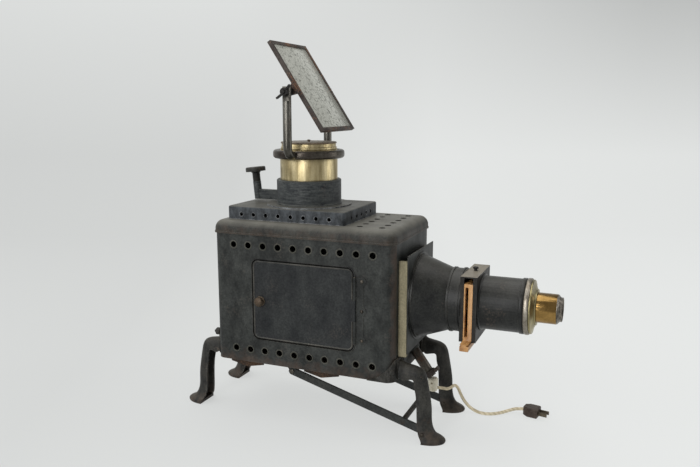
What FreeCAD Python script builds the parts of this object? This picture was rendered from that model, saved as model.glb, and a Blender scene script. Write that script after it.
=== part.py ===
import FreeCAD, Part
import math
import operator
import os
from types import SimpleNamespace

import Sketcher
from FreeCAD import Placement, Rotation, Vector

# Combination lantern on four cast legs. Millimetres, +X towards the screen, +Z up, door on the -Y side.
# The origin is on the floor, under the middle of the whole object.

SIZES = {
    # fits
    "running_fit": 0.1,
    "clear_gap": 0.3,
    # lamp house
    "house_x": -80.25,
    "house_length": 332,
    "house_width": 195,
    "house_height": 230,
    "leg_height": 101.5,
    "sheet": 1.5,
    "corner_radius": 14,
    "vent_hole": 11,
    "vent_pitch": 28.5,
    "vent_count": 10,
    "vent_x": 2,
    "vent_low": 23,
    "vent_high": 209,
    "aperture_length": 150,
    "aperture_width": 120,
    # lid and vent box
    "lid_over": 2,
    "lid_height": 20,
    "lid_round": 16,
    "lid_skirt": 2.5,
    "lid_ledge": 5,
    "lid_hole": 11,
    "lid_hole_pitch": 27.5,
    "lid_hole_count": 6,
    "lid_row_near": 96.75,
    "lid_row_far": 135.75,
    "lid_port": 197,
    "box_x": -118.4,
    "box_length": 222,
    "box_width": 154,
    "box_height": 22.5,
    "box_round": 6,
    "box_edge": 2.5,
    "box_hole": 7,
    "box_hole_pitch": 23.8,
    "box_hole_count": 8,
    "box_end_pitch": 22.2,
    "box_end_count": 5,
    "box_hole_height": 9,
    "box_ring": 150,
    "box_ring_rise": 2,
    # door
    "door_x": 4.25,
    "door_width": 191,
    "door_height": 142,
    "door_radius": 12,
    "door_seam": 0.8,
    "stop_lap": 6,
    "stop_sheet": 1.2,
    "hinge_height": 112,
    "knuckle": 4.4,
    "hinge_pin": 2,
    "leaf_sheet": 1,
    "rivet_offset": 12,
    "rivet_pitch": 50,
    "rivet_head": 6,
    "knob_x": -75.25,
    "knob_z": 113,
    "knob_width": 17,
    "spindle": 6,
    "tongue_length": 24,
    # legs and bolts
    "leg_y": 68,
    "leg_wall": 4,
    "leg_arm_depth": 28.5,
    "leg_arm_half": 16.5,
    "leg_arm_rise": 3,
    "bend_reach": 29,
    "bend_depth": 21,
    "knee_reach": 33,
    "knee_depth": 21,
    "knee_drop": 16.5,
    "shin_reach": 36,
    "shin_depth": 22.5,
    "shin_half": 12.5,
    "ankle_reach": 39,
    "ankle_depth": 25,
    "ankle_half": 15,
    "ankle_height": 18,
    "foot_reach": 46.5,
    "foot_depth": 35,
    "foot_half": 22,
    "foot_sheet": 5,
    "pad_sheet": 4,
    "pad_rise": 45.5,
    "ear_length": 44,
    "ear_sheet": 3,
    "ear_rise": 37.5,
    "ear_scoop": 70,
    "ear_scoop_back": 62,
    "ear_scoop_rise": 68.3,
    "bolt_head": 13,
    "bolt_shank": 6,
    "ear_bolt_head": 9,
    "ear_bolt_rise": 17.5,
    "rear_bolt_y": 80,
    "rear_bolt_reach": 11.5,
    # front optics
    "axis_rise": 125.5,
    "rail_depth": 14.25,
    "rail_width": 8,
    "rail_y": 65,
    "rail_low": 87.5,
    "rail_high": 72.5,
    "plate_half": 72,
    "plate_low": 82.5,
    "plate_high": 81.5,
    "cell_width": 112,
    "cell_wall": 3.5,
    "cell_length": 31,
    "cell_lip": 1.2,
    "condenser_sag": 11,
    "condenser_edge": 3,
    "cone_base": 140,
    "cone_mouth": 103,
    "cone_length": 60,
    "neck_width": 106,
    "neck_length": 20,
    "bead": 1.5,
    "stage_depth": 27,
    "stage_half": 50,
    "stage_low": 56.5,
    "stage_high": 51.5,
    "stage_sheet": 2,
    "stage_port": 84,
    "carrier_depth": 14,
    "carrier_half": 50,
    "carrier_low": 65,
    "carrier_high": 39.5,
    "carrier_reach": 72,
    "carrier_rail": 11,
    "carrier_cheek": 2,
    "carrier_slot": 5,
    "carrier_window": 76,
    "lip_engage": 3,
    "screw_shank": 4,
    "screw_head": 9,
    "tube_width": 88,
    "tube_wall": 1.6,
    "tube_length": 75,
    "rim_width": 92,
    "rim_length": 8,
    "flange_length": 9.5,
    "flange_step": 3.5,
    "flange_throat": 2,
    "front_barrel": 48.6,
    "front_barrel_wall": 2.3,
    "front_barrel_shows": 31,
    "front_barrel_inside": 27,
    "tip_width": 42,
    "tip_length": 8,
    "lens_gap": 0.2,
    # vertical optics
    "lens_x": -107.5,
    "collar_wall": 6.4,
    "collar_height": 43,
    "arm_reach": 102.5,
    "arm_thick": 10,
    "arm_low": 2.5,
    "arm_high": 20,
    "boss_width": 14.5,
    "boss_length": 32,
    "boss_angle": 6,
    "stem_shank": 8,
    "stem_length": 15,
    "disc_width": 36,
    "disc_thick": 8,
    "top_barrel": 101,
    "top_barrel_wall": 2,
    "top_barrel_inside": 42,
    "top_barrel_shows": 37,
    "top_cell_height": 11,
    "top_cell_step": 2,
    "top_glass_step": 5.5,
    "cap_step": 1.5,
    "cap_sheet": 2.5,
    "cap_spigot": 6,
    "cap_knob": 6,
    # mirror and yoke
    "yoke_bar": 14.5,
    "ring_band": 12.2,
    "ring_round": 5,
    "post_out": 30.5,
    "post_bend": 15,
    "pivot_rise": 105,
    "post_flat": 9,
    "pivot_screw": 6,
    "mirror_angle": 56.8,
    "mirror_length": 176,
    "mirror_width": 135,
    "mirror_depth": 6.5,
    "mirror_offset": 9,
    "mirror_shift": 3,
    "mirror_border": 6.5,
    "mirror_sheet": 1.5,
    "ear_plate": 2.5,
    "ear_spread": 12,
    "wing_angle": -42,
    "far_wing_angle": 56.8,
    "wing_reach": 17,
    "wing_hub": 13,
    "wing_depth": 7.5,
    # copy holder
    "copy_pin_reach": 46.75,
    "copy_pin_height": 14,
    "copy_pin": 6,
    "bar_angle": 16,
    "bar_length": 253.5,
    "bar_depth": 13,
    "bar_thick": 4,
    "cross_place": 40,
    "cross_width": 9,
    "plate_pin": 5,
    "copy_front": 95.7,
    "copy_rear": 120.3,
    "copy_half": 75,
    "copy_sheet": 2,
    "bracket_sheet": 3,
    "tab_length": 66,
    "tab_drop": 17,
    "tab_ends": 10,
    "fore_tab": 26,
    # lamp
    "lamp_entry": 36.5,
    "lamp_angle": 54,
    "lamp_tube": 17,
    "lamp_tube_wall": 1.5,
    "lamp_outside": 65.5,
    "lamp_inside": 62,
    "sleeve_wall": 3,
    "sleeve_length": 10,
    "clamp_wall": 2.5,
    "clamp_length": 7.5,
    "connector_angle": 88,
    "connector_width": 18,
    "connector_length": 23,
    "connector_screw": 3.5,
    "connector_screw_place": 7,
    "holder_width": 32,
    "holder_length": 28,
    "bulb_width": 60,
    "bulb_neck": 24,
    # flex and plug
    "cord_width": 5.5,
    "plug_x": 270.1,
    "plug_y": 96,
    "plug_z": 9,
    "plug_angle": -11,
    "plug_length": 27,
    "plug_width": 23,
    "plug_height": 18,
    "prong_length": 16,
    "prong_width": 6.4,
    "prong_sheet": 1.6,
    "prong_pitch": 12.7,
}

# Flex from the porcelain connector, round the far front leg and down to the floor (x, y, z).
CORD_ROUTE = [
    (132.5, 6.6, 62.7), (139, 14, 60), (144.4, 25, 54.6), (148.4, 37, 52.6), (151.6, 47.3, 54),
    (154.5, 56.6, 50.6), (157.2, 63.6, 41.8), (160.8, 67, 30), (167.8, 68.7, 17.3), (179, 67.8, 7.2),
    (193.7, 63.6, 3.1), (211, 62.6, 3), (228, 73, 3.1), (242.6, 88.7, 4.2), (256.5, 97, 7.9),
    (269.5, 96.1, 9),
]

doc = FreeCAD.newDocument("lantern")
sheet = doc.addObject("Spreadsheet::Sheet", "dims")
nodes = []

OPERATIONS = {"+": operator.add, "-": operator.sub, "*": operator.mul, "/": operator.truediv}


class Size:
    # A number of the model together with the formula that gives it in the sheet.

    def __init__(self, value, text):
        self.value = value
        self.text = text

    def __float__(self):
        return float(self.value)

    def __neg__(self):
        return Size(-self.value, f"(-{self.text})")

    def __add__(self, other):
        return joined(self, "+", other)

    def __radd__(self, other):
        return joined(other, "+", self)

    def __sub__(self, other):
        return joined(self, "-", other)

    def __rsub__(self, other):
        return joined(other, "-", self)

    def __mul__(self, other):
        return joined(self, "*", other)

    def __rmul__(self, other):
        return joined(other, "*", self)

    def __truediv__(self, other):
        return joined(self, "/", other)


def sized(value):
    return value if isinstance(value, Size) else Size(float(value), f"({float(value):.6f})")


def joined(first, sign, second):
    first = sized(first)
    second = sized(second)
    return Size(OPERATIONS[sign](first.value, second.value), f"({first.text} {sign} {second.text})")


def sine(angle):
    return Size(math.sin(math.radians(float(angle))), f"sin({sized(angle).text})")


def cosine(angle):
    return Size(math.cos(math.radians(float(angle))), f"cos({sized(angle).text})")


def fill_sheet():
    for row, (name, value) in enumerate(SIZES.items(), start=1):
        sheet.set(f"A{row}", name)
        sheet.set(f"B{row}", str(value))
        sheet.setAlias(f"B{row}", name)
    doc.recompute()
    return SimpleNamespace(**{name: Size(float(value), f"dims.{name}") for name, value in SIZES.items()})


d = fill_sheet()


# Building steps shared by the pieces

def bind(thing, **sizes):
    for name, size in sizes.items():
        thing.setExpression(name, sized(size).text)


def place(thing, x=0, y=0, z=0, rotation=None):
    thing.Placement = Placement(Vector(float(x), float(y), float(z)), rotation or Rotation())
    for axis, size in zip("xyz", (x, y, z)):
        thing.setExpression(f"Placement.Base.{axis}", sized(size).text)


def about_y(angle):
    return Rotation(Vector(0, 1, 0), float(angle))


def new_body(label, x=0, y=0, z=0, rotation=None):
    body = doc.addObject("PartDesign::Body", label)
    body.Label = label
    place(body, x, y, z, rotation)
    return body


def node(thing):
    nodes.append(thing)
    return thing


def group(label, members):
    compound = doc.addObject("Part::Compound", label)
    compound.Label = label
    compound.Links = members
    return node(compound)


def sketch_on(body, role, lift=0):
    sketch = body.newObject("Sketcher::SketchObject", "Sketch")
    support = next(plane for plane in body.Origin.OriginFeatures if plane.Role == role)
    sketch.AttachmentSupport = [(support, "")]
    sketch.MapMode = "FlatFace"
    sketch.setExpression("AttachmentOffset.Base.z", sized(lift).text)
    return sketch


def pin_point(sketch, geometry, end, x, y):
    for kind, size in (("DistanceX", x), ("DistanceY", y)):
        number = sketch.addConstraint(Sketcher.Constraint(kind, -1, 1, geometry, end, float(size)))
        sketch.setExpression(f"Constraints[{number}]", sized(size).text)


def arc_between(start, stop, radius, turn):
    chord = stop - start
    rise = math.sqrt(max(radius * radius - chord.Length * chord.Length / 4, 0))
    left = Vector(-chord.y, chord.x, 0).normalize()
    centre = (start + stop) * 0.5 + left * (rise * turn)
    first, last = (start, stop) if turn > 0 else (stop, start)
    angles = [math.atan2(p.y - centre.y, p.x - centre.x) for p in (first, last)]
    return Part.ArcOfCircle(Part.Circle(centre, Vector(0, 0, 1), radius), *angles)


def draw_outline(sketch, points, arcs=None):
    # Closed outline. arcs gives an edge's radius and its turn, 1 for anticlockwise and -1 for clockwise.
    arcs = arcs or {}
    places = [Vector(float(x), float(y), 0) for x, y in points]
    edges = []
    for number, start in enumerate(places):
        stop = places[(number + 1) % len(places)]
        if number in arcs:
            radius, turn = arcs[number]
            geometry = sketch.addGeometry(arc_between(start, stop, float(radius), turn))
            constraint = sketch.addConstraint(Sketcher.Constraint("Radius", geometry, float(radius)))
            sketch.setExpression(f"Constraints[{constraint}]", sized(radius).text)
            ends = (1, 2) if turn > 0 else (2, 1)
        else:
            geometry = sketch.addGeometry(Part.LineSegment(start, stop))
            ends = (1, 2)
        edges.append((geometry, *ends))
    for number, (geometry, first, last) in enumerate(edges):
        follower = edges[(number + 1) % len(edges)]
        sketch.addConstraint(Sketcher.Constraint("Coincident", geometry, last, follower[0], follower[1]))
        pin_point(sketch, geometry, first, *points[number])


def draw_circle(sketch, x, y, width):
    circle = Part.Circle(Vector(float(x), float(y), 0), Vector(0, 0, 1), float(width) / 2)
    geometry = sketch.addGeometry(circle)
    pin_point(sketch, geometry, 3, x, y)
    constraint = sketch.addConstraint(Sketcher.Constraint("Diameter", geometry, float(width)))
    sketch.setExpression(f"Constraints[{constraint}]", sized(width).text)


def draw_rounded(sketch, x0, x1, y0, y1, radius):
    points = [
        (x0 + radius, y0), (x1 - radius, y0), (x1, y0 + radius), (x1, y1 - radius),
        (x1 - radius, y1), (x0 + radius, y1), (x0, y1 - radius), (x0, y0 + radius),
    ]
    draw_outline(sketch, points, {edge: (radius, 1) for edge in (1, 3, 5, 7)})


def pad(body, sketch, length, symmetric=False):
    feature = body.newObject("PartDesign::Pad", "Pad")
    feature.Profile = sketch
    feature.SideType = "Symmetric" if symmetric else "One side"
    bind(feature, Length=length)
    return feature


def pierce(body, sketch):
    feature = body.newObject("PartDesign::Pocket", "Pocket")
    feature.Profile = sketch
    feature.SideType = "Symmetric"
    feature.Type = "ThroughAll"
    return feature


def row_of(body, feature, sketch, axis, pitch, count):
    pattern = body.newObject("PartDesign::LinearPattern", "Row")
    pattern.Originals = [feature]
    pattern.Direction = (sketch, [axis])
    bind(pattern, Length=pitch * (count - 1), Occurrences=count)
    body.Tip = pattern
    return pattern


def spin(body, sketch, axis):
    feature = body.newObject("PartDesign::Revolution", "Revolution")
    feature.Profile = sketch
    feature.ReferenceAxis = (sketch, [axis])
    feature.Angle = 360
    return feature


def turned(label, points, arcs=None, along="x", **where):
    # Turned piece. Points are (along the axis, radius) for an x axis, (radius, height) for a z axis.
    body = new_body(label, **where)
    sketch = sketch_on(body, "XZ_Plane")
    draw_outline(sketch, points, arcs)
    spin(body, sketch, "H_Axis" if along == "x" else "V_Axis")
    return body


def block(body, x, y, z, cut=False, rotation=None):
    kind = "PartDesign::SubtractiveBox" if cut else "PartDesign::AdditiveBox"
    feature = body.newObject(kind, "Block")
    bind(feature, Length=sized(x[1]) - x[0], Width=sized(y[1]) - y[0], Height=sized(z[1]) - z[0])
    place(feature, x[0], y[0], z[0], rotation)
    return feature


AXIS_TURNS = {"x": about_y(90), "y": Rotation(Vector(1, 0, 0), -90), "z": Rotation()}


def rod(body, width, length, x=0, y=0, z=0, along="z", lean=None, cut=False):
    kind = "PartDesign::SubtractiveCylinder" if cut else "PartDesign::AdditiveCylinder"
    feature = body.newObject(kind, "Rod")
    bind(feature, Radius=sized(width) / 2, Height=length)
    place(feature, x, y, z, AXIS_TURNS[along] if lean is None else about_y(lean))
    return feature


def soften(body, radius, wanted):
    doc.recompute()
    base = body.Tip
    names = [f"Edge{n}" for n, edge in enumerate(base.Shape.Edges, start=1) if wanted(edge)]
    feature = body.newObject("PartDesign::Fillet", "Fillet")
    feature.Base = (base, names)
    bind(feature, Radius=radius)
    return feature


def hollow(body, wall, face_height):
    # Sheet shell, open at the face that lies at the given height.
    doc.recompute()
    base = body.Tip
    faces = enumerate(base.Shape.Faces, start=1)
    name = next(f"Face{n}" for n, face in faces if abs(face.BoundBox.ZMax - float(face_height)) < 1e-6)
    feature = body.newObject("PartDesign::Thickness", "Thickness")
    feature.Base = (base, [name])
    feature.Reversed = True
    bind(feature, Value=wall)
    return feature


# Places that several pieces share

half_length = d.house_length / 2
half_width = d.house_width / 2
front_x = d.house_x + half_length
lid_top = d.leg_height + d.house_height + d.lid_height
lens_from_house = d.lens_x - d.house_x
axis_height = d.leg_height + d.axis_rise
door_middle = d.house_height / 2
door_rear = d.door_x - d.door_width / 2
door_front = d.door_x + d.door_width / 2
hinge_x = door_front + d.door_seam / 2
hinge_y = -(half_width + d.clear_gap + d.knuckle / 2)


def in_house(label):
    return new_body(label, d.house_x, 0, d.leg_height)


# Lamp house

def side_wall(label, side):
    body = in_house(label)
    face = half_width * side
    inner = face - d.sheet * side
    bend = face - d.corner_radius * side
    turn = -side
    outer_radius = d.corner_radius
    inner_radius = d.corner_radius - d.sheet
    plan = sketch_on(body, "XY_Plane")
    points = [
        (-half_length, bend), (d.corner_radius - half_length, face),
        (half_length - d.corner_radius, face), (half_length, bend),
        (half_length - d.sheet, bend), (half_length - d.corner_radius, inner),
        (d.corner_radius - half_length, inner), (d.sheet - half_length, bend),
    ]
    outside = (outer_radius, turn)
    inside = (inner_radius, -turn)
    arcs = {0: outside, 2: outside, 4: inside, 6: inside}
    draw_outline(plan, points, arcs)
    pad(body, plan, d.house_height)
    vents = sketch_on(body, "XZ_Plane")
    first_vent = d.vent_x - d.vent_pitch * (d.vent_count - 1) / 2
    for height in (d.vent_low, d.vent_high):
        draw_circle(vents, first_vent, height, d.vent_hole)
    row_of(body, pierce(body, vents), vents, "H_Axis", d.vent_pitch, d.vent_count)
    if side < 0:
        opening = sketch_on(body, "XZ_Plane")
        seam = d.door_seam
        rise = d.door_height / 2 + seam
        span = (door_rear - seam, door_front + seam)
        draw_rounded(opening, *span, door_middle - rise, door_middle + rise, d.door_radius + seam)
        pierce(body, opening)
    return node(body)


def end_wall(label, x0, x1):
    body = in_house(label)
    flat = half_width - d.corner_radius
    block(body, (x0, x1), (-flat, flat), (0, d.house_height))
    return body


def front_wall():
    body = end_wall("front_wall", half_length - d.sheet, half_length)
    port = d.cell_width + d.running_fit * 2
    rod(body, port, d.sheet * 3, half_length - d.sheet * 2, 0, d.axis_rise, along="x", cut=True)
    lamp_rod(body, d.lamp_tube + d.running_fit * 2, -d.lamp_inside, d.lamp_outside, cut=True)
    return node(body)


def lamp_rod(body, width, start, stop, cut=False):
    lean = d.lamp_angle + 90
    x = half_length + cosine(d.lamp_angle) * start
    z = d.lamp_entry - sine(d.lamp_angle) * start
    return rod(body, width, sized(stop) - start, x, 0, z, lean=lean, cut=cut)


def bottom_plate():
    body = in_house("bottom_plate")
    reach = half_length - d.sheet - d.running_fit
    spread = half_width - d.sheet - d.running_fit
    plan = sketch_on(body, "XY_Plane")
    draw_rounded(plan, -reach, reach, -spread, spread, d.corner_radius - d.sheet)
    pad(body, plan, d.sheet)
    half = d.aperture_length / 2
    side = d.aperture_width / 2
    under_lens = (lens_from_house - half, lens_from_house + half)
    block(body, under_lens, (-side, side), (-d.sheet, d.sheet * 2), cut=True)
    return node(body)


def lid():
    body = new_body("lid", d.house_x, 0, d.leg_height + d.house_height)
    reach = half_length + d.lid_over
    spread = half_width + d.lid_over
    plan = sketch_on(body, "XY_Plane", -d.lid_skirt)
    draw_rounded(plan, -reach, reach, -spread, spread, d.corner_radius + d.lid_over)
    pad(body, plan, d.lid_skirt + d.lid_height)
    top = float(d.lid_height) - 0.01
    soften(body, d.lid_round, lambda edge: edge.BoundBox.ZMin > top)
    hollow(body, d.sheet, -d.lid_skirt)
    # inner ledge that rests on the tops of the walls
    ledge = sketch_on(body, "XY_Plane")
    shell = d.sheet / 2
    draw_rounded(ledge, shell - reach, reach - shell, shell - spread, spread - shell, d.corner_radius)
    in_x = half_length - d.lid_ledge
    in_y = half_width - d.lid_ledge
    draw_rounded(ledge, -in_x, in_x, -in_y, in_y, d.corner_radius - d.lid_ledge)
    pad(body, ledge, d.sheet)
    # rolled bead round the lower edge
    bead = sketch_on(body, "XY_Plane", -d.lid_skirt)
    out_x = reach + d.sheet / 2
    out_y = spread + d.sheet / 2
    draw_rounded(bead, -out_x, out_x, -out_y, out_y, d.corner_radius + d.lid_over)
    draw_rounded(bead, shell - reach, reach - shell, shell - spread, spread - shell, d.corner_radius)
    pad(body, bead, d.sheet * 2)
    # opening under the vent box
    middle = d.box_x - d.house_x
    half = d.lid_port / 2
    side = d.box_width / 2 - d.corner_radius
    top_cut = (d.lid_height - d.sheet * 2, d.lid_height + d.sheet)
    block(body, (middle - half, middle + half), (-side, side), top_cut, cut=True)
    holes = sketch_on(body, "XY_Plane")
    for row in (d.lid_row_near, d.lid_row_far):
        draw_circle(holes, row, -(d.lid_hole_pitch * (d.lid_hole_count - 1) / 2), d.lid_hole)
    row_of(body, pierce(body, holes), holes, "V_Axis", d.lid_hole_pitch, d.lid_hole_count)
    return node(body)


def vent_box():
    body = new_body("vent_box", d.box_x, 0, lid_top)
    reach = d.box_length / 2
    spread = d.box_width / 2
    plan = sketch_on(body, "XY_Plane")
    draw_rounded(plan, -reach, reach, -spread, spread, d.box_round)
    pad(body, plan, d.box_height)
    top = float(d.box_height) - 0.01
    soften(body, d.box_edge, lambda edge: edge.BoundBox.ZMin > top)
    hollow(body, d.sheet, 0)
    lens = d.lens_x - d.box_x
    ring = sketch_on(body, "XY_Plane", d.box_height - d.sheet / 2)
    draw_circle(ring, lens, 0, d.box_ring)
    pad(body, ring, d.box_ring_rise + d.sheet / 2)
    bore = sketch_on(body, "XY_Plane")
    draw_circle(bore, lens, 0, d.top_barrel + d.clear_gap * 2)
    pierce(body, bore)
    long_row = sketch_on(body, "XZ_Plane")
    draw_circle(long_row, -(d.box_hole_pitch * (d.box_hole_count - 1) / 2), d.box_hole_height, d.box_hole)
    row_of(body, pierce(body, long_row), long_row, "H_Axis", d.box_hole_pitch, d.box_hole_count)
    end_row = sketch_on(body, "YZ_Plane")
    draw_circle(end_row, -(d.box_end_pitch * (d.box_end_count - 1) / 2), d.box_hole_height, d.box_hole)
    row_of(body, pierce(body, end_row), end_row, "H_Axis", d.box_end_pitch, d.box_end_count)
    return node(body)


# Door, hinge and latch

def door():
    body = in_house("door")
    rise = d.door_height / 2
    panel = sketch_on(body, "XZ_Plane", half_width + d.clear_gap - d.sheet)
    draw_rounded(panel, door_rear, door_front, door_middle - rise, door_middle + rise, d.door_radius)
    pad(body, panel, d.sheet)
    third = d.hinge_height / 6 - d.clear_gap
    face = -(half_width + d.clear_gap)
    tab = (hinge_x - d.knuckle * 1.5, hinge_x)
    block(body, tab, (hinge_y, face + d.sheet / 2), (door_middle - third, door_middle + third))
    rod(body, d.knuckle, third * 2, hinge_x, hinge_y, door_middle - third)
    bore = d.hinge_pin + d.running_fit * 2
    rod(body, bore, d.hinge_height, hinge_x, hinge_y, door_middle - d.hinge_height / 2, cut=True)
    spindle_hole = d.spindle + d.running_fit * 2
    rod(body, spindle_hole, d.sheet * 4, d.knob_x, face - d.sheet * 2, d.knob_z, along="y", cut=True)
    return node(body)


def door_stop():
    body = in_house("door_stop")
    rise = d.door_height / 2
    lap = d.stop_lap
    depth = (d.sheet - half_width, d.sheet + d.stop_sheet - half_width)
    block(body, (door_rear - lap, door_rear + lap), depth, (door_middle - rise - lap, door_middle + rise + lap))
    for low in (door_middle - rise - lap, door_middle + rise - lap):
        block(body, (door_rear - lap, door_front - d.door_radius), depth, (low, low + lap * 2))
    return node(body)


def hinge_leaf():
    body = in_house("hinge_leaf")
    depth = (-half_width - d.leaf_sheet, -half_width)
    column = hinge_x + d.rivet_offset
    low = door_middle - d.hinge_height / 2
    clear = hinge_x + d.knuckle / 2 + d.clear_gap
    block(body, (clear, column + d.rivet_head / 2), depth, (low, low + d.hinge_height))
    length = d.hinge_height / 3
    for start in (low, low + length * 2):
        block(body, (hinge_x, clear), (hinge_y, -half_width), (start, start + length))
        rod(body, d.knuckle, length, hinge_x, hinge_y, start)
    for step in (-1, 0, 1):
        height = door_middle + d.rivet_pitch * step
        rod(body, d.rivet_head * 2.4, d.leaf_sheet, column, depth[0], height, along="y")
    bore = d.hinge_pin + d.running_fit * 2
    rod(body, bore, d.hinge_height + 2, hinge_x, hinge_y, low - 1, cut=True)
    return node(body)


def hinge_pin():
    body = in_house("hinge_pin")
    low = door_middle - d.hinge_height / 2
    rod(body, d.hinge_pin, d.hinge_height, hinge_x, hinge_y, low)
    for z in (low - d.leaf_sheet, low + d.hinge_height):
        rod(body, d.knuckle - d.clear_gap * 2, d.leaf_sheet, hinge_x, hinge_y, z)
    return node(body)


def hinge_rivets():
    heads = []
    half = d.rivet_head / 2
    for step in (-1, 0, 1):
        x = d.house_x + hinge_x + d.rivet_offset
        z = d.leg_height + door_middle + d.rivet_pitch * step
        y = -half_width - d.leaf_sheet
        points = [(0, 0), (half, 0), (half * 0.8, half * 0.4), (half * 0.4, half * 0.6), (0, half * 0.65)]
        turn = Rotation(Vector(1, 0, 0), 90)
        heads.append(turned("rivet", points, along="z", x=x, y=y, z=z, rotation=turn))
    return group("hinge_rivets", heads)


def door_knob():
    half = d.knob_width / 2
    spindle = d.spindle / 2
    inside = d.sheet + d.stop_sheet + d.clear_gap * 2 + d.sheet * 2
    face = half_width + d.clear_gap
    points = [
        (0, -inside), (spindle, -inside), (spindle, d.running_fit), (half, d.running_fit), (half, 1.5),
        (spindle, 3), (spindle, 4.5), (half * 0.8, 5.5), (half, 7.5), (half * 0.85, 10), (half * 0.4, 11.5),
        (0, 11.5),
    ]
    turn = Rotation(Vector(1, 0, 0), 90)
    x = d.house_x + d.knob_x
    return node(turned("door_knob", points, along="z", x=x, y=-face, z=d.leg_height + d.knob_z, rotation=turn))


def latch_tongue():
    body = in_house("latch_tongue")
    near = d.sheet + d.stop_sheet + d.clear_gap - half_width
    depth = (near, near + d.sheet)
    half = d.spindle
    block(body, (d.knob_x - half, d.knob_x + half), depth, (d.knob_z - d.tongue_length, d.knob_z + half))
    hole = d.spindle + d.running_fit
    rod(body, hole, d.sheet * 3, d.knob_x, near - d.sheet, d.knob_z, along="y", cut=True)
    return node(body)


# Cast legs

def half_round(reach, height, turn, depth, half, opening):
    # Half-oval section. The flat side faces the house, and a cutter section runs on past it.
    oval = Part.Ellipse(Vector(0, 0, 0), depth, half)
    edges = [Part.ArcOfEllipse(oval, -math.pi / 2, math.pi / 2).toShape()]
    corners = [Vector(0, half, 0), Vector(-opening, half, 0), Vector(-opening, -half, 0), Vector(0, -half, 0)]
    if opening == 0:
        corners = [corners[0], corners[3]]
    edges += [Part.makeLine(a, b) for a, b in zip(corners, corners[1:])]
    wire = Part.Wire(edges)
    wire.Placement = Placement(Vector(reach, 0, height), about_y(-turn))
    return wire


def leg_stations():
    # From the sole up the shin, round the knee and along the arm to the house.
    arm = float(d.leg_height) + float(d.leg_arm_rise)
    knee_height = float(d.leg_height) - float(d.knee_drop)
    ankle_height = float(d.ankle_height)
    sole = float(d.foot_sheet)
    foot = [float(d.foot_reach), float(d.foot_depth), float(d.foot_half)]
    ankle = [float(d.ankle_reach), float(d.ankle_depth), float(d.ankle_half)]
    shin = [float(d.shin_reach), float(d.shin_depth), float(d.shin_half)]
    knee = [float(d.knee_reach), float(d.knee_depth), float(d.shin_half)]
    bend = [float(d.bend_reach), float(d.bend_depth), float(d.shin_half)]
    wall_end = [0, float(d.leg_arm_depth), float(d.leg_arm_half)]
    instep = [(a + b * 2) / 3 for a, b in zip(foot, ankle)]
    into_bend = [(a + b) / 2 for a, b in zip(knee, bend)]
    arm_start = [(a * 2 + b) / 3 for a, b in zip(bend, wall_end)]
    arm_end = [(a + b * 2) / 3 for a, b in zip(bend, wall_end)]
    path = [
        (foot, 0, 0), (foot, sole, 0), (instep, (sole + ankle_height) / 2, 0), (ankle, ankle_height, 0),
        (shin, (ankle_height + knee_height) / 2, 0), (knee, knee_height, 0),
        (into_bend, (knee_height + arm) / 2, 20), (bend, arm, 45), (arm_start, arm, 70), (arm_end, arm, 90),
        (wall_end, arm, 90),
    ]
    return [(reach, height, turn, depth, half) for (reach, depth, half), height, turn in path]


def leg_casting():
    wall = float(d.leg_wall)
    stations = leg_stations()
    outer = Part.makeLoft([half_round(*station, 0) for station in stations], True, False)
    inner = []
    for reach, height, turn, depth, half in stations[1:-1]:
        inner.append(half_round(reach, height, turn, depth - wall, half - wall, wall))
    hollow_side = Part.makeLoft(inner, True, False)
    return outer.cut(hollow_side)


def corner_ear(side):
    # Flange that wraps the rounded corner of the house, with a hollow-curved upper edge.
    thick = float(d.ear_sheet)
    reach = float(d.ear_length)
    rise = float(d.ear_rise)
    low = float(d.leg_height)
    radius = float(d.corner_radius)

    def corner_plan(grow):
        size = Vector(reach + radius + grow, reach + radius + grow, rise)
        plan = Part.makeBox(size.x, size.y, size.z, Vector(-size.x + grow, -size.y + grow, low))
        edge = [e for e in plan.Edges if e.BoundBox.XMin > grow - 1e-6 and e.BoundBox.YMin > grow - 1e-6]
        return plan.makeFillet(radius + grow, edge)

    wrap = corner_plan(thick).cut(corner_plan(0))
    corner = Vector(0, 0, low)
    keep = Part.makeBox(reach + thick, reach + thick, rise, corner - Vector(reach, reach, 0))
    scoop_at = Vector(-float(d.ear_scoop_back), -2 * reach, low + float(d.ear_scoop_rise))
    scoop = Part.makeCylinder(float(d.ear_scoop), 4 * reach, scoop_at, Vector(0, 1, 0))
    # the bolt stands out of the rounded corner
    outward = Vector(1, 1, 0).normalize()
    hole_at = Vector(-radius, -radius, low + float(d.ear_bolt_rise)) + outward * (radius - thick)
    bolt_hole = float(d.bolt_shank) / 2 + float(d.running_fit)
    hole = Part.makeCylinder(bolt_hole, 3 * thick, hole_at, outward)
    ear = wrap.common(keep).cut(scoop).cut(hole)
    if side < 0:
        ear = ear.mirror(Vector(0, 0, 0), Vector(0, 1, 0))
    ear.translate(Vector(0, float(half_width) * side, 0))
    return ear


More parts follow.
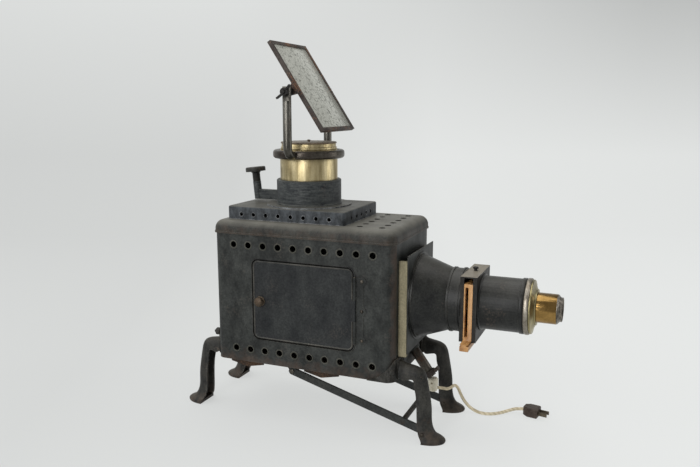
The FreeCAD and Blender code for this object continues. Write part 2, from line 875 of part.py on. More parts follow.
def leg(label, front, side):
    pad_thick = float(d.pad_sheet)
    half = float(d.leg_arm_half)
    low = float(d.leg_height)
    shape = leg_casting()
    rise = float(d.leg_arm_depth) if front else float(d.pad_rise)
    back = Part.makeBox(pad_thick, 2 * half, rise, Vector(0, -half, low + float(d.leg_arm_rise)))
    shape = shape.fuse(back)
    bore = Part.makeCylinder(float(d.bolt_shank) / 2 + float(d.running_fit), pad_thick * 3)
    if front:
        pin = float(d.copy_pin) / 2 + float(d.running_fit)
        at = Vector(float(d.copy_pin_reach), -half * 2, float(d.copy_pin_height))
        shape = shape.cut(Part.makeCylinder(pin, half * 4, at, Vector(0, 1, 0)))
    else:
        # the rear legs are turned half round, so their near side is the other way
        inward = (float(d.leg_y) - float(d.rear_bolt_y)) * side
        bore.Placement = Placement(Vector(-pad_thick, inward, rear_bolt_height()), about_y(90))
        shape = shape.cut(bore)
    shape.translate(Vector(0, float(d.leg_y) * (side if front else -side), 0))
    if front:
        shape = shape.fuse(corner_ear(side))
    shape = shape.removeSplitter()
    piece = doc.addObject("Part::Feature", label)
    piece.Label = label
    piece.Shape = shape
    wall = float(half_length) if front else -float(half_length)
    turn = Rotation() if front else Rotation(Vector(0, 0, 1), 180)
    piece.Placement = Placement(Vector(float(d.house_x) + wall, 0, 0), turn)
    return node(piece)


def rear_bolt_height():
    return float(d.leg_height) + float(d.leg_arm_rise) + float(d.pad_rise) - float(d.bolt_head) / 2


def leg_bolts():
    head = d.bolt_head / 2
    shank = d.bolt_shank / 2
    dome = d.ear_bolt_head / 2
    tip = d.rear_bolt_reach
    # out from the centre of the corner to the face of the ear, along each wall
    out = (d.corner_radius + d.ear_sheet) * math.sqrt(0.5) - d.corner_radius
    bolts = []
    for side in (-1, 1):
        ear = [
            (0, -d.ear_sheet), (shank, -d.ear_sheet), (shank, 0), (dome, 0), (dome, dome * 0.25),
            (dome * 0.6, dome * 0.6), (0, dome * 0.7),
        ]
        where = {"x": front_x + out, "y": (half_width + out) * side, "z": d.leg_height + d.ear_bolt_rise}
        turn = Rotation(Vector(0, 0, 1), Vector(1, side, 0))
        bolts.append(turned("ear_bolt", ear, along="z", rotation=turn, **where))
        # nut on the rear bolt, with the end of its thread standing out
        rear = [
            (0, -d.pad_sheet), (shank, -d.pad_sheet), (shank, 0), (head, 0), (head, head),
            (head * 0.8, head * 1.2), (shank, head * 1.2), (shank, tip - shank / 2), (shank / 2, tip), (0, tip),
        ]
        x = d.house_x - half_length - d.pad_sheet
        where = {"x": x, "y": d.rear_bolt_y * side, "z": rear_bolt_height()}
        bolts.append(turned("rear_bolt", rear, along="z", rotation=about_y(-90), **where))
    return group("leg_bolts", bolts)


# Front optics, measured forward from the front wall

plate_at = d.rail_depth
cone_at = plate_at + d.sheet
neck_at = cone_at + d.cone_length
stage_at = neck_at + d.neck_length
tube_at = stage_at + d.stage_depth
rim_at = tube_at + d.tube_length
flange_at = rim_at + d.rim_length / 2
barrel_out = flange_at + d.flange_length
tip_at = barrel_out + d.front_barrel_shows


def at_front(label, points, arcs=None):
    return turned(label, points, arcs, x=front_x, z=axis_height)


def front_plate():
    body = new_body("front_plate", front_x, 0, axis_height)
    half = d.plate_half
    block(body, (plate_at, plate_at + d.sheet), (-half, half), (-d.plate_low, d.plate_high))
    port = d.cell_width + d.running_fit * 2
    rod(body, port, d.sheet * 3, plate_at - d.sheet, 0, 0, along="x", cut=True)
    return node(body)


def front_rail(label, side):
    body = new_body(label, front_x, 0, axis_height)
    inner = d.rail_y * side
    outer = (d.rail_y + d.rail_width) * side
    span = (outer, inner) if side < 0 else (inner, outer)
    block(body, (0, d.rail_depth), span, (-d.rail_low, d.rail_high))
    return body


def condenser_cell():
    outer = d.cell_width / 2
    inner = outer - d.cell_wall
    mouth = inner - d.cell_wall
    back = cone_at + d.cell_wall - d.cell_length
    front = cone_at + d.cell_wall
    lip = d.cell_lip
    points = [
        (back, mouth), (back, outer), (front, outer), (front, mouth), (front - lip, mouth),
        (front - lip, inner), (back + lip, inner), (back + lip, mouth),
    ]
    return node(at_front("condenser_cell", points))


def condenser_lenses():
    radius = d.cell_width / 2 - d.cell_wall - d.running_fit
    sag = d.condenser_sag
    edge = d.condenser_edge
    back = cone_at + d.cell_wall - d.cell_length + d.cell_lip + d.running_fit
    front = cone_at + d.cell_wall - d.cell_lip - d.running_fit
    curve = (radius * radius + sag * sag) / (sag * 2)
    rear = [(back, 0), (back + edge + sag, 0), (back + edge, radius), (back, radius)]
    fore = [(front - edge - sag, 0), (front, 0), (front, radius), (front - edge, radius)]
    lenses = [
        at_front("rear_condenser", rear, {1: (curve, 1)}),
        at_front("front_condenser", fore, {3: (curve, 1)}),
    ]
    return group("condenser_lenses", lenses)


def condenser_cone():
    base = d.cone_base / 2
    mouth = d.cone_mouth / 2
    neck = d.neck_width / 2
    wall = d.sheet
    bead = d.bead
    stop = neck_at + d.neck_length
    points = [
        (cone_at, base + bead * 3), (cone_at + wall, base + bead * 3), (cone_at + wall, base + bead),
        (cone_at + wall + bead * 2, base + bead), (cone_at + wall + bead * 2, base),
        (neck_at - bead * 2, mouth), (neck_at - bead * 2, neck + bead), (neck_at, neck + bead),
        (neck_at, neck), (stop - bead * 4, neck), (stop - bead * 4, neck + bead),
        (stop - bead * 2, neck + bead),
        (stop - bead * 2, neck), (stop, neck), (stop, mouth - wall), (neck_at - bead * 3, mouth - wall),
        (cone_at + wall, base - wall), (cone_at, base - wall),
    ]
    return node(at_front("condenser_cone", points))


def slide_stage():
    body = new_body("slide_stage", front_x + stage_at, 0, axis_height)
    depth = d.stage_depth
    sheet_thick = d.stage_sheet
    span = (-d.stage_half, d.stage_half)
    rise = (-d.stage_low, d.stage_high)
    block(body, (0, sheet_thick), span, rise)
    block(body, (depth - sheet_thick, depth), span, rise)
    block(body, (0, depth), span, (d.stage_high - sheet_thick, d.stage_high))
    lip = (d.stage_depth - d.carrier_depth) / 2 + d.lip_engage - d.clear_gap
    foot = (-d.stage_low, sheet_thick - d.stage_low)
    block(body, (0, lip), span, foot)
    block(body, (depth - lip, depth), span, foot)
    # folded edges beside the carrier
    fold = (depth - d.carrier_depth) / 2 - d.clear_gap
    for edge in ((-d.stage_half, sheet_thick - d.stage_half), (d.stage_half - sheet_thick, d.stage_half)):
        block(body, (0, fold), edge, rise)
        block(body, (depth - fold, depth), edge, rise)
    rod(body, d.stage_port, depth * 2, -depth / 2, 0, 0, along="x", cut=True)
    screw_hole = d.screw_shank + d.running_fit * 2
    rod(body, screw_hole, sheet_thick * 3, depth / 2, 0, d.stage_high - sheet_thick * 2, cut=True)
    return node(body)


def stage_screw():
    shank = d.screw_shank / 2
    head = d.screw_head / 2
    reach = d.stage_high - d.carrier_high - d.clear_gap
    points = [
        (0, -reach), (shank, -reach), (shank, d.clear_gap), (head * 0.7, d.clear_gap), (head * 0.5, 3),
        (head, 3.5), (head, 5.5), (head * 0.8, 6.5), (0, 6.5),
    ]
    x = front_x + stage_at + d.stage_depth / 2
    return node(turned("stage_screw", points, along="z", x=x, z=axis_height + d.stage_high))


def slide_carrier():
    margin = (d.stage_depth - d.carrier_depth) / 2
    body = new_body("slide_carrier", front_x + stage_at + margin, 0, axis_height)
    depth = d.carrier_depth
    low = -d.carrier_low
    block(body, (0, depth), (-d.carrier_half, d.carrier_half), (low, d.carrier_high))
    block(body, (0, depth), (-d.carrier_reach, d.carrier_reach), (low, low + d.carrier_rail))
    half = d.carrier_window / 2
    block(body, (-1, depth + 1), (-half, half), (-half, half - d.carrier_rail), cut=True)
    slot = (d.carrier_cheek, d.carrier_cheek + d.carrier_slot)
    whole = (-d.carrier_reach - 1, d.carrier_reach + 1)
    block(body, slot, whole, (low + d.carrier_rail * 1.5, d.carrier_high - d.carrier_rail / 2), cut=True)
    # grooves that run on the lips of the stage
    groove = (-d.stage_low - d.clear_gap, d.stage_sheet + d.clear_gap - d.stage_low)
    block(body, (-1, d.lip_engage), whole, groove, cut=True)
    block(body, (depth - d.lip_engage, depth + 1), whole, groove, cut=True)
    return node(body)


def front_tube():
    outer = d.tube_width / 2
    inner = outer - d.tube_wall
    foot = outer + d.bead * 2
    ring = outer + d.bead
    ring_start = rim_at - d.rim_length * 1.4
    ring_stop = rim_at - d.rim_length * 0.6
    points = [
        (tube_at, inner), (tube_at, foot), (tube_at + d.bead, foot), (tube_at + d.bead * 2, outer),
        (ring_start, outer), (ring_start, ring), (ring_stop, ring), (ring_stop, outer), (rim_at, outer),
        (rim_at, inner),
    ]
    return node(at_front("front_tube", points))


def tube_rim():
    bore = d.tube_width / 2 + d.running_fit
    outer = d.rim_width / 2
    half = d.rim_length / 2
    mouth = d.tube_width / 2 - d.tube_wall * 2
    points = [
        (rim_at - half, bore), (rim_at - half, outer - d.bead), (rim_at - half + d.bead, outer),
        (rim_at + half - d.bead, outer), (rim_at + half, outer - d.bead), (rim_at + half, mouth),
        (rim_at, mouth), (rim_at, bore),
    ]
    return node(at_front("tube_rim", points))


def lens_flange():
    outer = d.tube_width / 2
    bore = d.front_barrel / 2 + d.running_fit
    throat = bore + d.tube_wall * 3
    step = flange_at + d.flange_step
    neck = barrel_out - d.flange_throat
    points = [
        (flange_at, outer - d.tube_wall * 2), (flange_at, outer - d.bead / 2), (flange_at + d.bead / 2, outer),
        (step - d.bead / 2, outer), (step, outer - d.bead / 2), (step, outer - d.bead * 2),
        (neck - d.bead, throat + d.bead * 3), (neck, throat + d.bead), (neck, throat), (barrel_out, throat),
        (barrel_out, bore), (step - d.bead, bore), (step - d.bead, throat - d.tube_wall),
    ]
    return node(at_front("lens_flange", points))


def front_lens_barrel():
    outer = d.front_barrel / 2
    inner = outer - d.front_barrel_wall
    back = flange_at - d.front_barrel_inside
    lip = inner - d.front_barrel_wall
    points = [
        (back, lip), (back, outer), (tip_at, outer), (tip_at, inner),
        (back + d.front_barrel_wall, inner), (back + d.front_barrel_wall, lip),
    ]
    return node(at_front("front_lens_barrel", points))


def lens_tip_ring():
    outer = d.tip_width / 2
    inner = d.front_barrel / 2 - d.front_barrel_wall * 3
    stop = tip_at + d.tip_length
    points = [
        (tip_at, inner), (tip_at, d.front_barrel / 2 - d.bead / 2),
        (tip_at + d.bead, d.front_barrel / 2 - d.bead / 2),
        (tip_at + d.bead * 2, outer), (stop - d.bead * 3, outer), (stop - d.bead * 2, outer - d.bead),
        (stop, outer - d.bead), (stop, inner + d.bead),
    ]
    return node(at_front("lens_tip_ring", points))


def double_convex(start, radius, sag, edge):
    curve = (radius * radius + sag * sag) / (sag * 2)
    points = [(start, 0), (start + sag * 2 + edge, 0), (start + sag + edge, radius), (start + sag, radius)]
    return points, {1: (curve, 1), 3: (curve, 1)}


def lens_rest(radius, sag, seat):
    # how far a lens edge stands off a seat of the given radius, so that its curve just clears it
    return sag * (1 - seat * seat / (radius * radius)) + d.lens_gap


def front_lens_glasses():
    radius = d.front_barrel / 2 - d.front_barrel_wall - d.running_fit
    sag = d.front_barrel_wall * 1.2
    edge = d.front_barrel_wall
    lip = d.front_barrel / 2 - d.front_barrel_wall * 2
    tip_seat = d.front_barrel / 2 - d.front_barrel_wall * 3
    fore_edge = tip_at - lens_rest(radius, sag, tip_seat)
    rear_edge = flange_at - d.front_barrel_inside + d.front_barrel_wall + lens_rest(radius, sag, lip)
    fore = double_convex(fore_edge - sag - edge, radius, sag, edge)
    rear = double_convex(rear_edge - sag, radius, sag, edge)
    lenses = [at_front("fore_glass", *fore), at_front("rear_glass", *rear)]
    return group("front_lens_glasses", lenses)


# Vertical optics, measured up from the vent box

collar_z = lid_top + d.box_height + d.box_ring_rise
collar_top = collar_z + d.collar_height
ring_z = collar_top + d.top_barrel_shows + d.yoke_bar / 2
barrel_top = ring_z + d.yoke_bar / 2
cell_top = barrel_top + d.top_cell_height
top_glass = d.top_barrel - d.top_glass_step * 2


boss_bore = d.boss_length * 0.6


def upright(label, points, arcs=None):
    return turned(label, points, arcs, along="z", x=d.lens_x)


def lens_collar():
    body = new_body("lens_collar", d.lens_x, 0, collar_z)
    section = sketch_on(body, "XZ_Plane")
    bore = d.top_barrel / 2 + d.running_fit
    outer = bore + d.collar_wall
    points = [
        (bore, 0), (outer + d.bead, 0), (outer + d.bead, d.bead), (outer, d.bead * 2),
        (outer, d.collar_height - d.bead), (outer - d.bead, d.collar_height), (bore, d.collar_height),
    ]
    draw_outline(section, points)
    spin(body, section, "V_Axis")
    half = d.arm_thick / 2
    block(body, (-d.arm_reach, d.bead * 2 - outer), (-half, half), (d.arm_low, d.arm_high))
    rod(body, d.boss_width, d.boss_length, -d.arm_reach, 0, d.arm_low, lean=-d.boss_angle)
    start = d.boss_length - boss_bore
    x = -d.arm_reach - sine(d.boss_angle) * start
    z = d.arm_low + cosine(d.boss_angle) * start
    rod(body, d.stem_shank + d.running_fit * 2, boss_bore + 1, x, 0, z, lean=-d.boss_angle, cut=True)
    return node(body)


def adjusting_knob():
    shank = d.stem_shank / 2
    stem = d.boss_width / 2 - d.clear_gap
    disc = d.disc_width / 2
    hub = d.stem_length
    flat = hub + d.bead * 2
    points = [
        (0, d.clear_gap - boss_bore), (shank, d.clear_gap - boss_bore), (shank, d.clear_gap),
        (stem, d.clear_gap),
        (stem, hub), (stem + d.bead, hub + d.bead), (stem + d.bead, flat), (disc, flat),
        (disc, flat + d.disc_thick - d.bead), (disc - d.bead, flat + d.disc_thick), (0, flat + d.disc_thick),
    ]
    x = d.lens_x - d.arm_reach - sine(d.boss_angle) * d.boss_length
    z = collar_z + d.arm_low + cosine(d.boss_angle) * d.boss_length
    return node(turned("adjusting_knob", points, along="z", x=x, z=z, rotation=about_y(-d.boss_angle)))


def top_lens_barrel():
    outer = d.top_barrel / 2
    inner = outer - d.top_barrel_wall
    low = collar_top - d.top_barrel_inside
    lip = inner - d.top_barrel_wall * 2
    points = [
        (lip, low), (outer, low), (outer, barrel_top), (inner, barrel_top),
        (inner, low + d.top_barrel_wall), (lip, low + d.top_barrel_wall),
    ]
    return node(upright("top_lens_barrel", points))


def top_lens_cell():
    outer = d.top_barrel / 2 - d.top_cell_step
    inner = top_glass / 2 + d.running_fit
    spigot = d.top_barrel / 2 - d.top_barrel_wall - d.running_fit
    low = barrel_top - d.yoke_bar
    seat = inner - d.top_barrel_wall
    half = d.top_cell_height / 2
    points = [
        (seat, low), (spigot, low), (spigot, barrel_top), (outer + d.bead / 2, barrel_top),
        (outer + d.bead / 2, barrel_top + half - d.bead / 2), (outer - d.bead / 2, barrel_top + half),
        (outer - d.bead / 2, cell_top), (inner, cell_top), (inner, low + d.top_barrel_wall),
        (seat, low + d.top_barrel_wall),
    ]
    return node(upright("top_lens_cell", points))


def top_lens_glasses():
    sag = d.top_barrel_wall * 2.5
    edge = d.top_barrel_wall * 1.5

    def glass(label, radius, low):
        curve = (radius * radius + sag * sag) / (sag * 2)
        points = [(0, low - sag), (radius, low), (radius, low + edge), (0, low + edge + sag)]
        return upright(label, points, {0: (curve, 1), 2: (curve, 1)})

    seat = top_glass / 2 + d.running_fit - d.top_barrel_wall
    rest = lens_rest(top_glass / 2, sag, seat)
    upper = glass("upper_glass", top_glass / 2, barrel_top - d.yoke_bar + d.top_barrel_wall + rest)
    radius = d.top_barrel / 2 - d.top_barrel_wall - d.running_fit
    rest = lens_rest(radius, sag, d.top_barrel / 2 - d.top_barrel_wall * 3)
    lower = glass("lower_glass", radius, collar_top - d.top_barrel_inside + d.top_barrel_wall + rest)
    return group("top_lens_glasses", [upper, lower])


def lens_cap():
    outer = d.top_barrel / 2 - d.cap_step
    spigot = top_glass / 2
    wall = d.top_barrel_wall
    knob = d.cap_knob / 2
    top = cell_top + d.cap_sheet
    points = [
        (0, cell_top), (spigot - wall, cell_top), (spigot - wall, cell_top - d.cap_spigot),
        (spigot, cell_top - d.cap_spigot), (spigot, cell_top), (outer, cell_top), (outer, top - 0.8),
        (outer - 0.8, top), (knob * 0.6, top), (knob * 0.6, top + 1.2), (knob, top + 2), (knob, top + 3.2),
        (0, top + 4),
    ]
    return node(upright("lens_cap", points))


# Yoke and mirror

pivot_z = ring_z + d.pivot_rise
post_y = d.top_barrel / 2 + d.post_out


def yoke_ring():
    body = new_body("yoke_ring", d.lens_x, 0, ring_z)
    section = sketch_on(body, "XZ_Plane")
    inner = d.top_barrel / 2 + d.running_fit
    middle = inner + d.ring_band / 2
    draw_rounded(section, inner, inner + d.ring_band, -d.yoke_bar / 2, d.yoke_bar / 2, d.ring_round)
    spin(body, section, "V_Axis")
    stop = post_y - d.post_bend
    for start in (middle, -stop):
        rod(body, d.yoke_bar, stop - middle, 0, start, 0, along="y")
    return node(body)


def yoke_post(label, side):
    body = new_body(label, d.lens_x, 0, ring_z)
    bend = body.newObject("PartDesign::AdditiveTorus", "Bend")
    bind(bend, Radius1=d.post_bend, Radius2=d.yoke_bar / 2)
    bend.Angle3 = 90
    turn = Rotation(Vector(0, 0, -1), Vector(0, side, 0), Vector(side, 0, 0), "XYZ")
    place(bend, 0, (post_y - d.post_bend) * side, d.post_bend, turn)
    top = d.pivot_rise + d.yoke_bar * 0.6
    rod(body, d.yoke_bar, top - d.post_bend, 0, post_y * side, d.post_bend)
    # flats for the mirror ear and the wing nut
    half = d.post_flat / 2
    low = d.pivot_rise - d.yoke_bar
    for inner, outer in ((half, d.yoke_bar), (-d.yoke_bar, -half)):
        middle = post_y * side
        block(body, (-d.yoke_bar, d.yoke_bar), (middle + inner, middle + outer), (low, top + 1), cut=True)
    hole = d.pivot_screw + d.running_fit * 2
    rod(body, hole, d.yoke_bar * 2, 0, post_y * side - d.yoke_bar, d.pivot_rise, along="y", cut=True)
    return body


def across(body, side, width, start, stop, cut=False):
    # rod across the object, from one distance to another on the given side
    y = sized(start) if side > 0 else -sized(stop)
    return rod(body, width, sized(stop) - start, 0, y, 0, along="y", cut=cut)


ear_outside = d.mirror_width / 2 + d.ear_plate
nut_inside = post_y + d.post_flat / 2


def pivot_screws():
    screws = []
    for side in (-1, 1):
        body = new_body("pivot_screw", d.lens_x, 0, pivot_z)
        head = d.mirror_width / 2 - d.clear_gap
        across(body, side, d.pivot_screw, head, nut_inside + d.wing_hub * 0.9)
        across(body, side, d.pivot_screw * 1.7, head - 3, head)
        across(body, side, d.wing_hub, ear_outside + d.clear_gap, post_y - d.post_flat / 2)
        screws.append(body)
    return group("pivot_screws", screws)


def wing_nut(label, side, angle):
    body = new_body(label, d.lens_x, 0, pivot_z, about_y(angle))
    start = nut_inside + d.clear_gap
    depth = d.wing_depth
    reach = d.wing_reach
    across(body, side, d.wing_hub, start, start + depth)
    root = d.wing_hub * 0.3
    outline = [
        (root, depth * 0.1), (reach * 0.6, depth * 0.3), (reach * 0.9, depth * 0.6), (reach, depth * 1.1),
        (reach * 0.9, depth * 1.5), (reach * 0.65, depth * 1.3), (root, depth * 0.9),
    ]
    for way in (-1, 1):
        wing = sketch_on(body, "XY_Plane")
        draw_outline(wing, [(x * way, (start + y) * side) for x, y in outline])
        pad(body, wing, d.ear_plate, symmetric=True)
    bore = d.pivot_screw + d.running_fit * 2
    across(body, side, bore, start - 1, start + depth + 1, cut=True)
    return node(body)


def mirror_piece(label):
    return new_body(label, d.lens_x, 0, pivot_z, about_y(d.mirror_angle))


def mirror_frame():
    body = mirror_piece("mirror_frame")
    reach = d.mirror_length / 2
    upper = -reach - d.mirror_shift
    lower = reach - d.mirror_shift
    half = d.mirror_width / 2
    back = d.mirror_offset
    front = d.mirror_offset + d.mirror_depth
    wall = d.mirror_sheet
    border = d.mirror_border
    block(body, (upper, lower), (-half, half), (back, front))
    opening = (upper + border, lower - border)
    block(body, opening, (border - half, half - border), (back - 1, front + 1), cut=True)
    block(body, (upper + wall, lower - wall), (wall - half, half - wall), (back + wall, front - wall), cut=True)
    for side in (-1, 1):
        lift = half if side < 0 else -half - d.ear_plate
        ear = sketch_on(body, "XZ_Plane", lift)
        eye = d.wing_hub / 2
        points = [(-d.ear_spread, front - wall), (-eye, 0), (eye, 0), (d.ear_spread, front - wall)]
        draw_outline(ear, points)
        pad(body, ear, d.ear_plate)
        across(body, side, d.wing_hub, half, half + d.ear_plate)
        across(body, side, d.pivot_screw + d.running_fit * 2, half - 1, half + d.ear_plate + 1, cut=True)
    return node(body)


def mirror_glass():
    body = mirror_piece("mirror_glass")
    slack = d.mirror_sheet + d.lens_gap
    reach = d.mirror_length / 2 - slack
    half = d.mirror_width / 2 - slack
    depth = (d.mirror_offset + slack, d.mirror_offset + d.mirror_depth - slack)
    block(body, (-reach - d.mirror_shift, reach - d.mirror_shift), (-half, half), depth)
    return node(body)


# Copy holder under the house

copy_pin_x = front_x + d.copy_pin_reach
plate_pin_x = copy_pin_x - cosine(d.bar_angle) * d.bar_length
plate_pin_z = d.copy_pin_height + sine(d.bar_angle) * d.bar_length


def copy_bar(label, side):
    body = new_body(label, copy_pin_x, 0, d.copy_pin_height, about_y(d.bar_angle))
    inner = d.leg_y - d.bar_thick / 2
    outer = d.leg_y + d.bar_thick / 2
    half = d.bar_depth / 2
    span = (inner, outer) if side > 0 else (-outer, -inner)
    block(body, (-d.bar_length, 0), span, (-half, half))
    for x in (-d.bar_length, 0):
        rod(body, d.bar_depth, d.bar_thick, x, span[0], 0, along="y")
    holes = ((0, d.copy_pin), (-d.cross_place, d.cross_width), (-d.bar_length, d.plate_pin))
    for x, width in holes:
        rod(body, width + d.running_fit * 2, d.bar_thick * 3, x, span[0] - d.bar_thick, 0, along="y", cut=True)
    return body


def copy_cross_bar():
    body = new_body("copy_cross_bar", copy_pin_x, 0, d.copy_pin_height, about_y(d.bar_angle))
    outer = d.leg_y + d.bar_thick / 2
    rod(body, d.cross_width, outer * 2, -d.cross_place, -outer, 0, along="y")
    return node(body)


def copy_pivot_pins():
    pins = []
    length = d.ankle_half * 2 + d.leg_wall
    for side in (-1, 1):
        body = new_body("copy_pivot_pin", copy_pin_x, d.leg_y * side, d.copy_pin_height)
        rod(body, d.copy_pin, length, 0, -length / 2, 0, along="y")
        pins.append(body)
    return group("copy_pivot_pins", pins)


bracket_outside = d.leg_y - d.bar_thick / 2 - d.clear_gap


def copy_plate():
    body = new_body("copy_plate", plate_pin_x, 0, plate_pin_z)
    top = d.leg_height - d.clear_gap - plate_pin_z
    under = top - d.copy_sheet
    corner = under + d.copy_sheet / 2
    half = d.copy_half
    block(body, (-d.copy_rear, d.copy_front), (-half, half), (under, top))
    for side in (-1, 1):
        # turned-down tabs, deepest at the middle
        edge = half - d.copy_sheet if side < 0 else -half
        for start in (-d.copy_rear, d.fore_tab):
            tab = sketch_on(body, "XZ_Plane", edge)
            stop = start + d.tab_length
            points = [
                (start, corner), (start, under - d.tab_ends), (start + d.tab_length / 2, under - d.tab_drop),
                (stop, under - d.tab_ends), (stop, corner),
            ]
            draw_outline(tab, points)
            pad(body, tab, d.copy_sheet)
        lift = bracket_outside - d.bracket_sheet if side < 0 else -bracket_outside
        bracket = sketch_on(body, "XZ_Plane", lift)
        eye = d.plate_pin * 1.4
        points = [
            (-eye * 3, corner), (-eye, 0), (eye, 0), (eye * 2, under - d.tab_ends),
            (d.copy_front * 0.7, under - d.tab_ends), (d.copy_front * 0.75, corner),
        ]
        draw_outline(bracket, points)
        pad(body, bracket, d.bracket_sheet)
        across(body, side, eye * 2, bracket_outside - d.bracket_sheet, bracket_outside)
        hole = d.plate_pin + d.running_fit * 2
        across(body, side, hole, bracket_outside - d.bracket_sheet * 2, bracket_outside + 1, cut=True)
    return node(body)


def plate_pins():
    pins = []
    for side in (-1, 1):
        body = new_body("plate_pin", plate_pin_x, 0, plate_pin_z)
        start = bracket_outside - d.bracket_sheet - d.clear_gap
        stop = d.leg_y + d.bar_thick / 2
        across(body, side, d.plate_pin, start, stop)
        across(body, side, d.plate_pin * 1.6, stop, stop + 2)
        across(body, side, d.plate_pin * 1.6, start - 2, start)
        pins.append(body)
    return group("plate_pins", pins)


# Lamp, measured along its tube from the front wall

def along_lamp(label, points, arcs=None):
    turn = about_y(d.lamp_angle + 90)
    return turned(label, points, arcs, along="z", x=front_x, z=d.leg_height + d.lamp_entry, rotation=turn)


def lamp_sleeve():
    body = in_house("lamp_sleeve")
    bore = d.lamp_tube + d.running_fit * 2
    lamp_rod(body, bore + d.sleeve_wall * 2, -d.lamp_inside / 2, d.sleeve_length)
    lamp_rod(body, bore, -d.lamp_inside, d.lamp_outside, cut=True)
    block(body, (0, half_length), (-half_width, half_width), (-d.house_height, d.house_height), cut=True)
    return node(body)


def lamp_tube():
    outer = d.lamp_tube / 2
    inner = outer - d.lamp_tube_wall
    start = -d.lamp_inside
    stop = d.lamp_outside
    points = [(inner, start), (outer, start), (outer, stop), (inner, stop)]
    return node(along_lamp("lamp_tube", points))


def lamp_clamp():
    bore = d.lamp_tube / 2 + d.running_fit
    outer = bore + d.clamp_wall
    stop = d.lamp_outside - d.clamp_wall
    start = stop - d.clamp_length
    body = along_lamp("lamp_clamp", [(bore, start), (outer, start), (outer, stop), (bore, stop)])
    lug = d.clamp_wall * 1.5
    block(body, (-outer - d.clamp_length, -bore - d.clamp_wall / 2), (-lug, lug), (start + 1, stop - 1))
    screw = -outer - d.clamp_length / 2
    rod(body, d.bolt_shank, d.clamp_wall * 6, screw, -d.clamp_wall * 3, start + d.clamp_length / 2, along="y")
    return node(body)


def lamp_connector():
    radius = d.connector_width / 2
    length = d.connector_length
    swing = d.connector_angle - d.lamp_angle
    drop = sine(swing) * radius - cosine(swing) * 2 + d.clear_gap
    out = d.lamp_outside + drop
    x = front_x + cosine(d.lamp_angle) * out
    z = d.leg_height + d.lamp_entry - sine(d.lamp_angle) * out
    points = [
        (0, 0), (radius * 0.8, 0), (radius, 2), (radius, length * 0.55), (radius * 0.86, length * 0.62),
        (radius * 0.86, length * 0.9), (radius * 0.7, length), (0, length),
    ]
    turn = about_y(d.connector_angle + 90)
    body = turned("lamp_connector", points, along="z", x=x, z=z, rotation=turn)
    deep = d.connector_screw * 2
    rod(body, d.connector_screw, deep, 0, -radius - deep / 2, d.connector_screw_place, along="y", cut=True)
    return node(body)


def lamp_holder():
    start = -d.lamp_inside - d.holder_length
    outer = d.holder_width / 2
    bore = d.bulb_neck / 2 + d.running_fit
    inside = d.lamp_tube / 2
    points = [
        (bore, start), (outer, start), (outer, start + d.holder_length * 0.7), (inside, -d.lamp_inside),
        (0, -d.lamp_inside), (0, start + d.holder_length * 0.8), (bore, start + d.holder_length * 0.8),
    ]
    return node(along_lamp("lamp_holder", points))


def lamp_bulb():
    neck = d.bulb_neck / 2
    globe = d.bulb_width / 2
    seat = d.holder_length * 0.8 - d.holder_length - d.lamp_inside - d.lens_gap
    mouth = -d.lamp_inside - d.holder_length
    middle = mouth - globe * 1.1
    points = [
        (0, middle - globe), (globe, middle), (globe * 0.8, middle + globe * 0.6), (neck, mouth),
        (neck, seat), (0, seat),
    ]
    return node(along_lamp("lamp_bulb", points, {0: (globe, 1), 1: (globe, 1)}))


# Flex and plug

def cord():
    points = [Vector(*point) for point in CORD_ROUTE]
    radius = float(d.cord_width) / 2
    edges = []
    here = points[0]
    for before, corner, after in zip(points, points[1:], points[2:]):
        come = (corner - before).normalize()
        go = (after - corner).normalize()
        shorter = min((corner - before).Length, (after - corner).Length)
        back = 0.45 * shorter
        half_turn = come.getAngle(go) / 2
        first = corner - come * back
        last = corner + go * back
        inward = (go - come).normalize()
        middle = corner + inward * (back * (1 - math.cos(half_turn)) / math.sin(half_turn))
        edges.append(Part.makeLine(here, first))
        edges.append(Part.Arc(first, middle, last).toShape())
        here = last
    edges.append(Part.makeLine(here, points[-1]))
    path = Part.Wire(edges)
    ring = Part.Wire(Part.makeCircle(radius, points[0], points[1] - points[0]))
    tube = path.makePipeShell([ring], True, False)
    piece = doc.addObject("Part::Feature", "cord")
    piece.Label = "cord"
    piece.Shape = tube
    return node(piece)


def plug_turn():
    return Rotation(Vector(0, 0, 1), float(d.plug_angle))


def plug_body():
    body = new_body("plug_body", d.plug_x, d.plug_y, d.plug_z, plug_turn())
    half = d.plug_width / 2
    rise = d.plug_height / 2
    plan = sketch_on(body, "XY_Plane", -rise)
    points = [
        (0, -half * 0.5), (d.plug_length * 0.3, -half), (d.plug_length, -half), (d.plug_length, half),
        (d.plug_length * 0.3, half), (0, half * 0.5),
    ]
    draw_outline(plan, points)
    pad(body, plan, d.plug_height)
    soften(body, 3, lambda edge: abs(edge.BoundBox.ZLength) < 1e-6)
    return node(body)


def plug_prongs():
    prongs = []
    for side in (-1, 1):
        body = new_body("plug_prong", d.plug_x, d.plug_y, d.plug_z, plug_turn())
        middle = d.prong_pitch / 2 * side
        half = d.prong_sheet / 2
        rise = d.prong_width / 2
        span = (d.plug_length, d.plug_length + d.prong_length)
        block(body, span, (middle - half, middle + half), (-rise, rise))
        prongs.append(body)
    return group("plug_prongs", prongs)


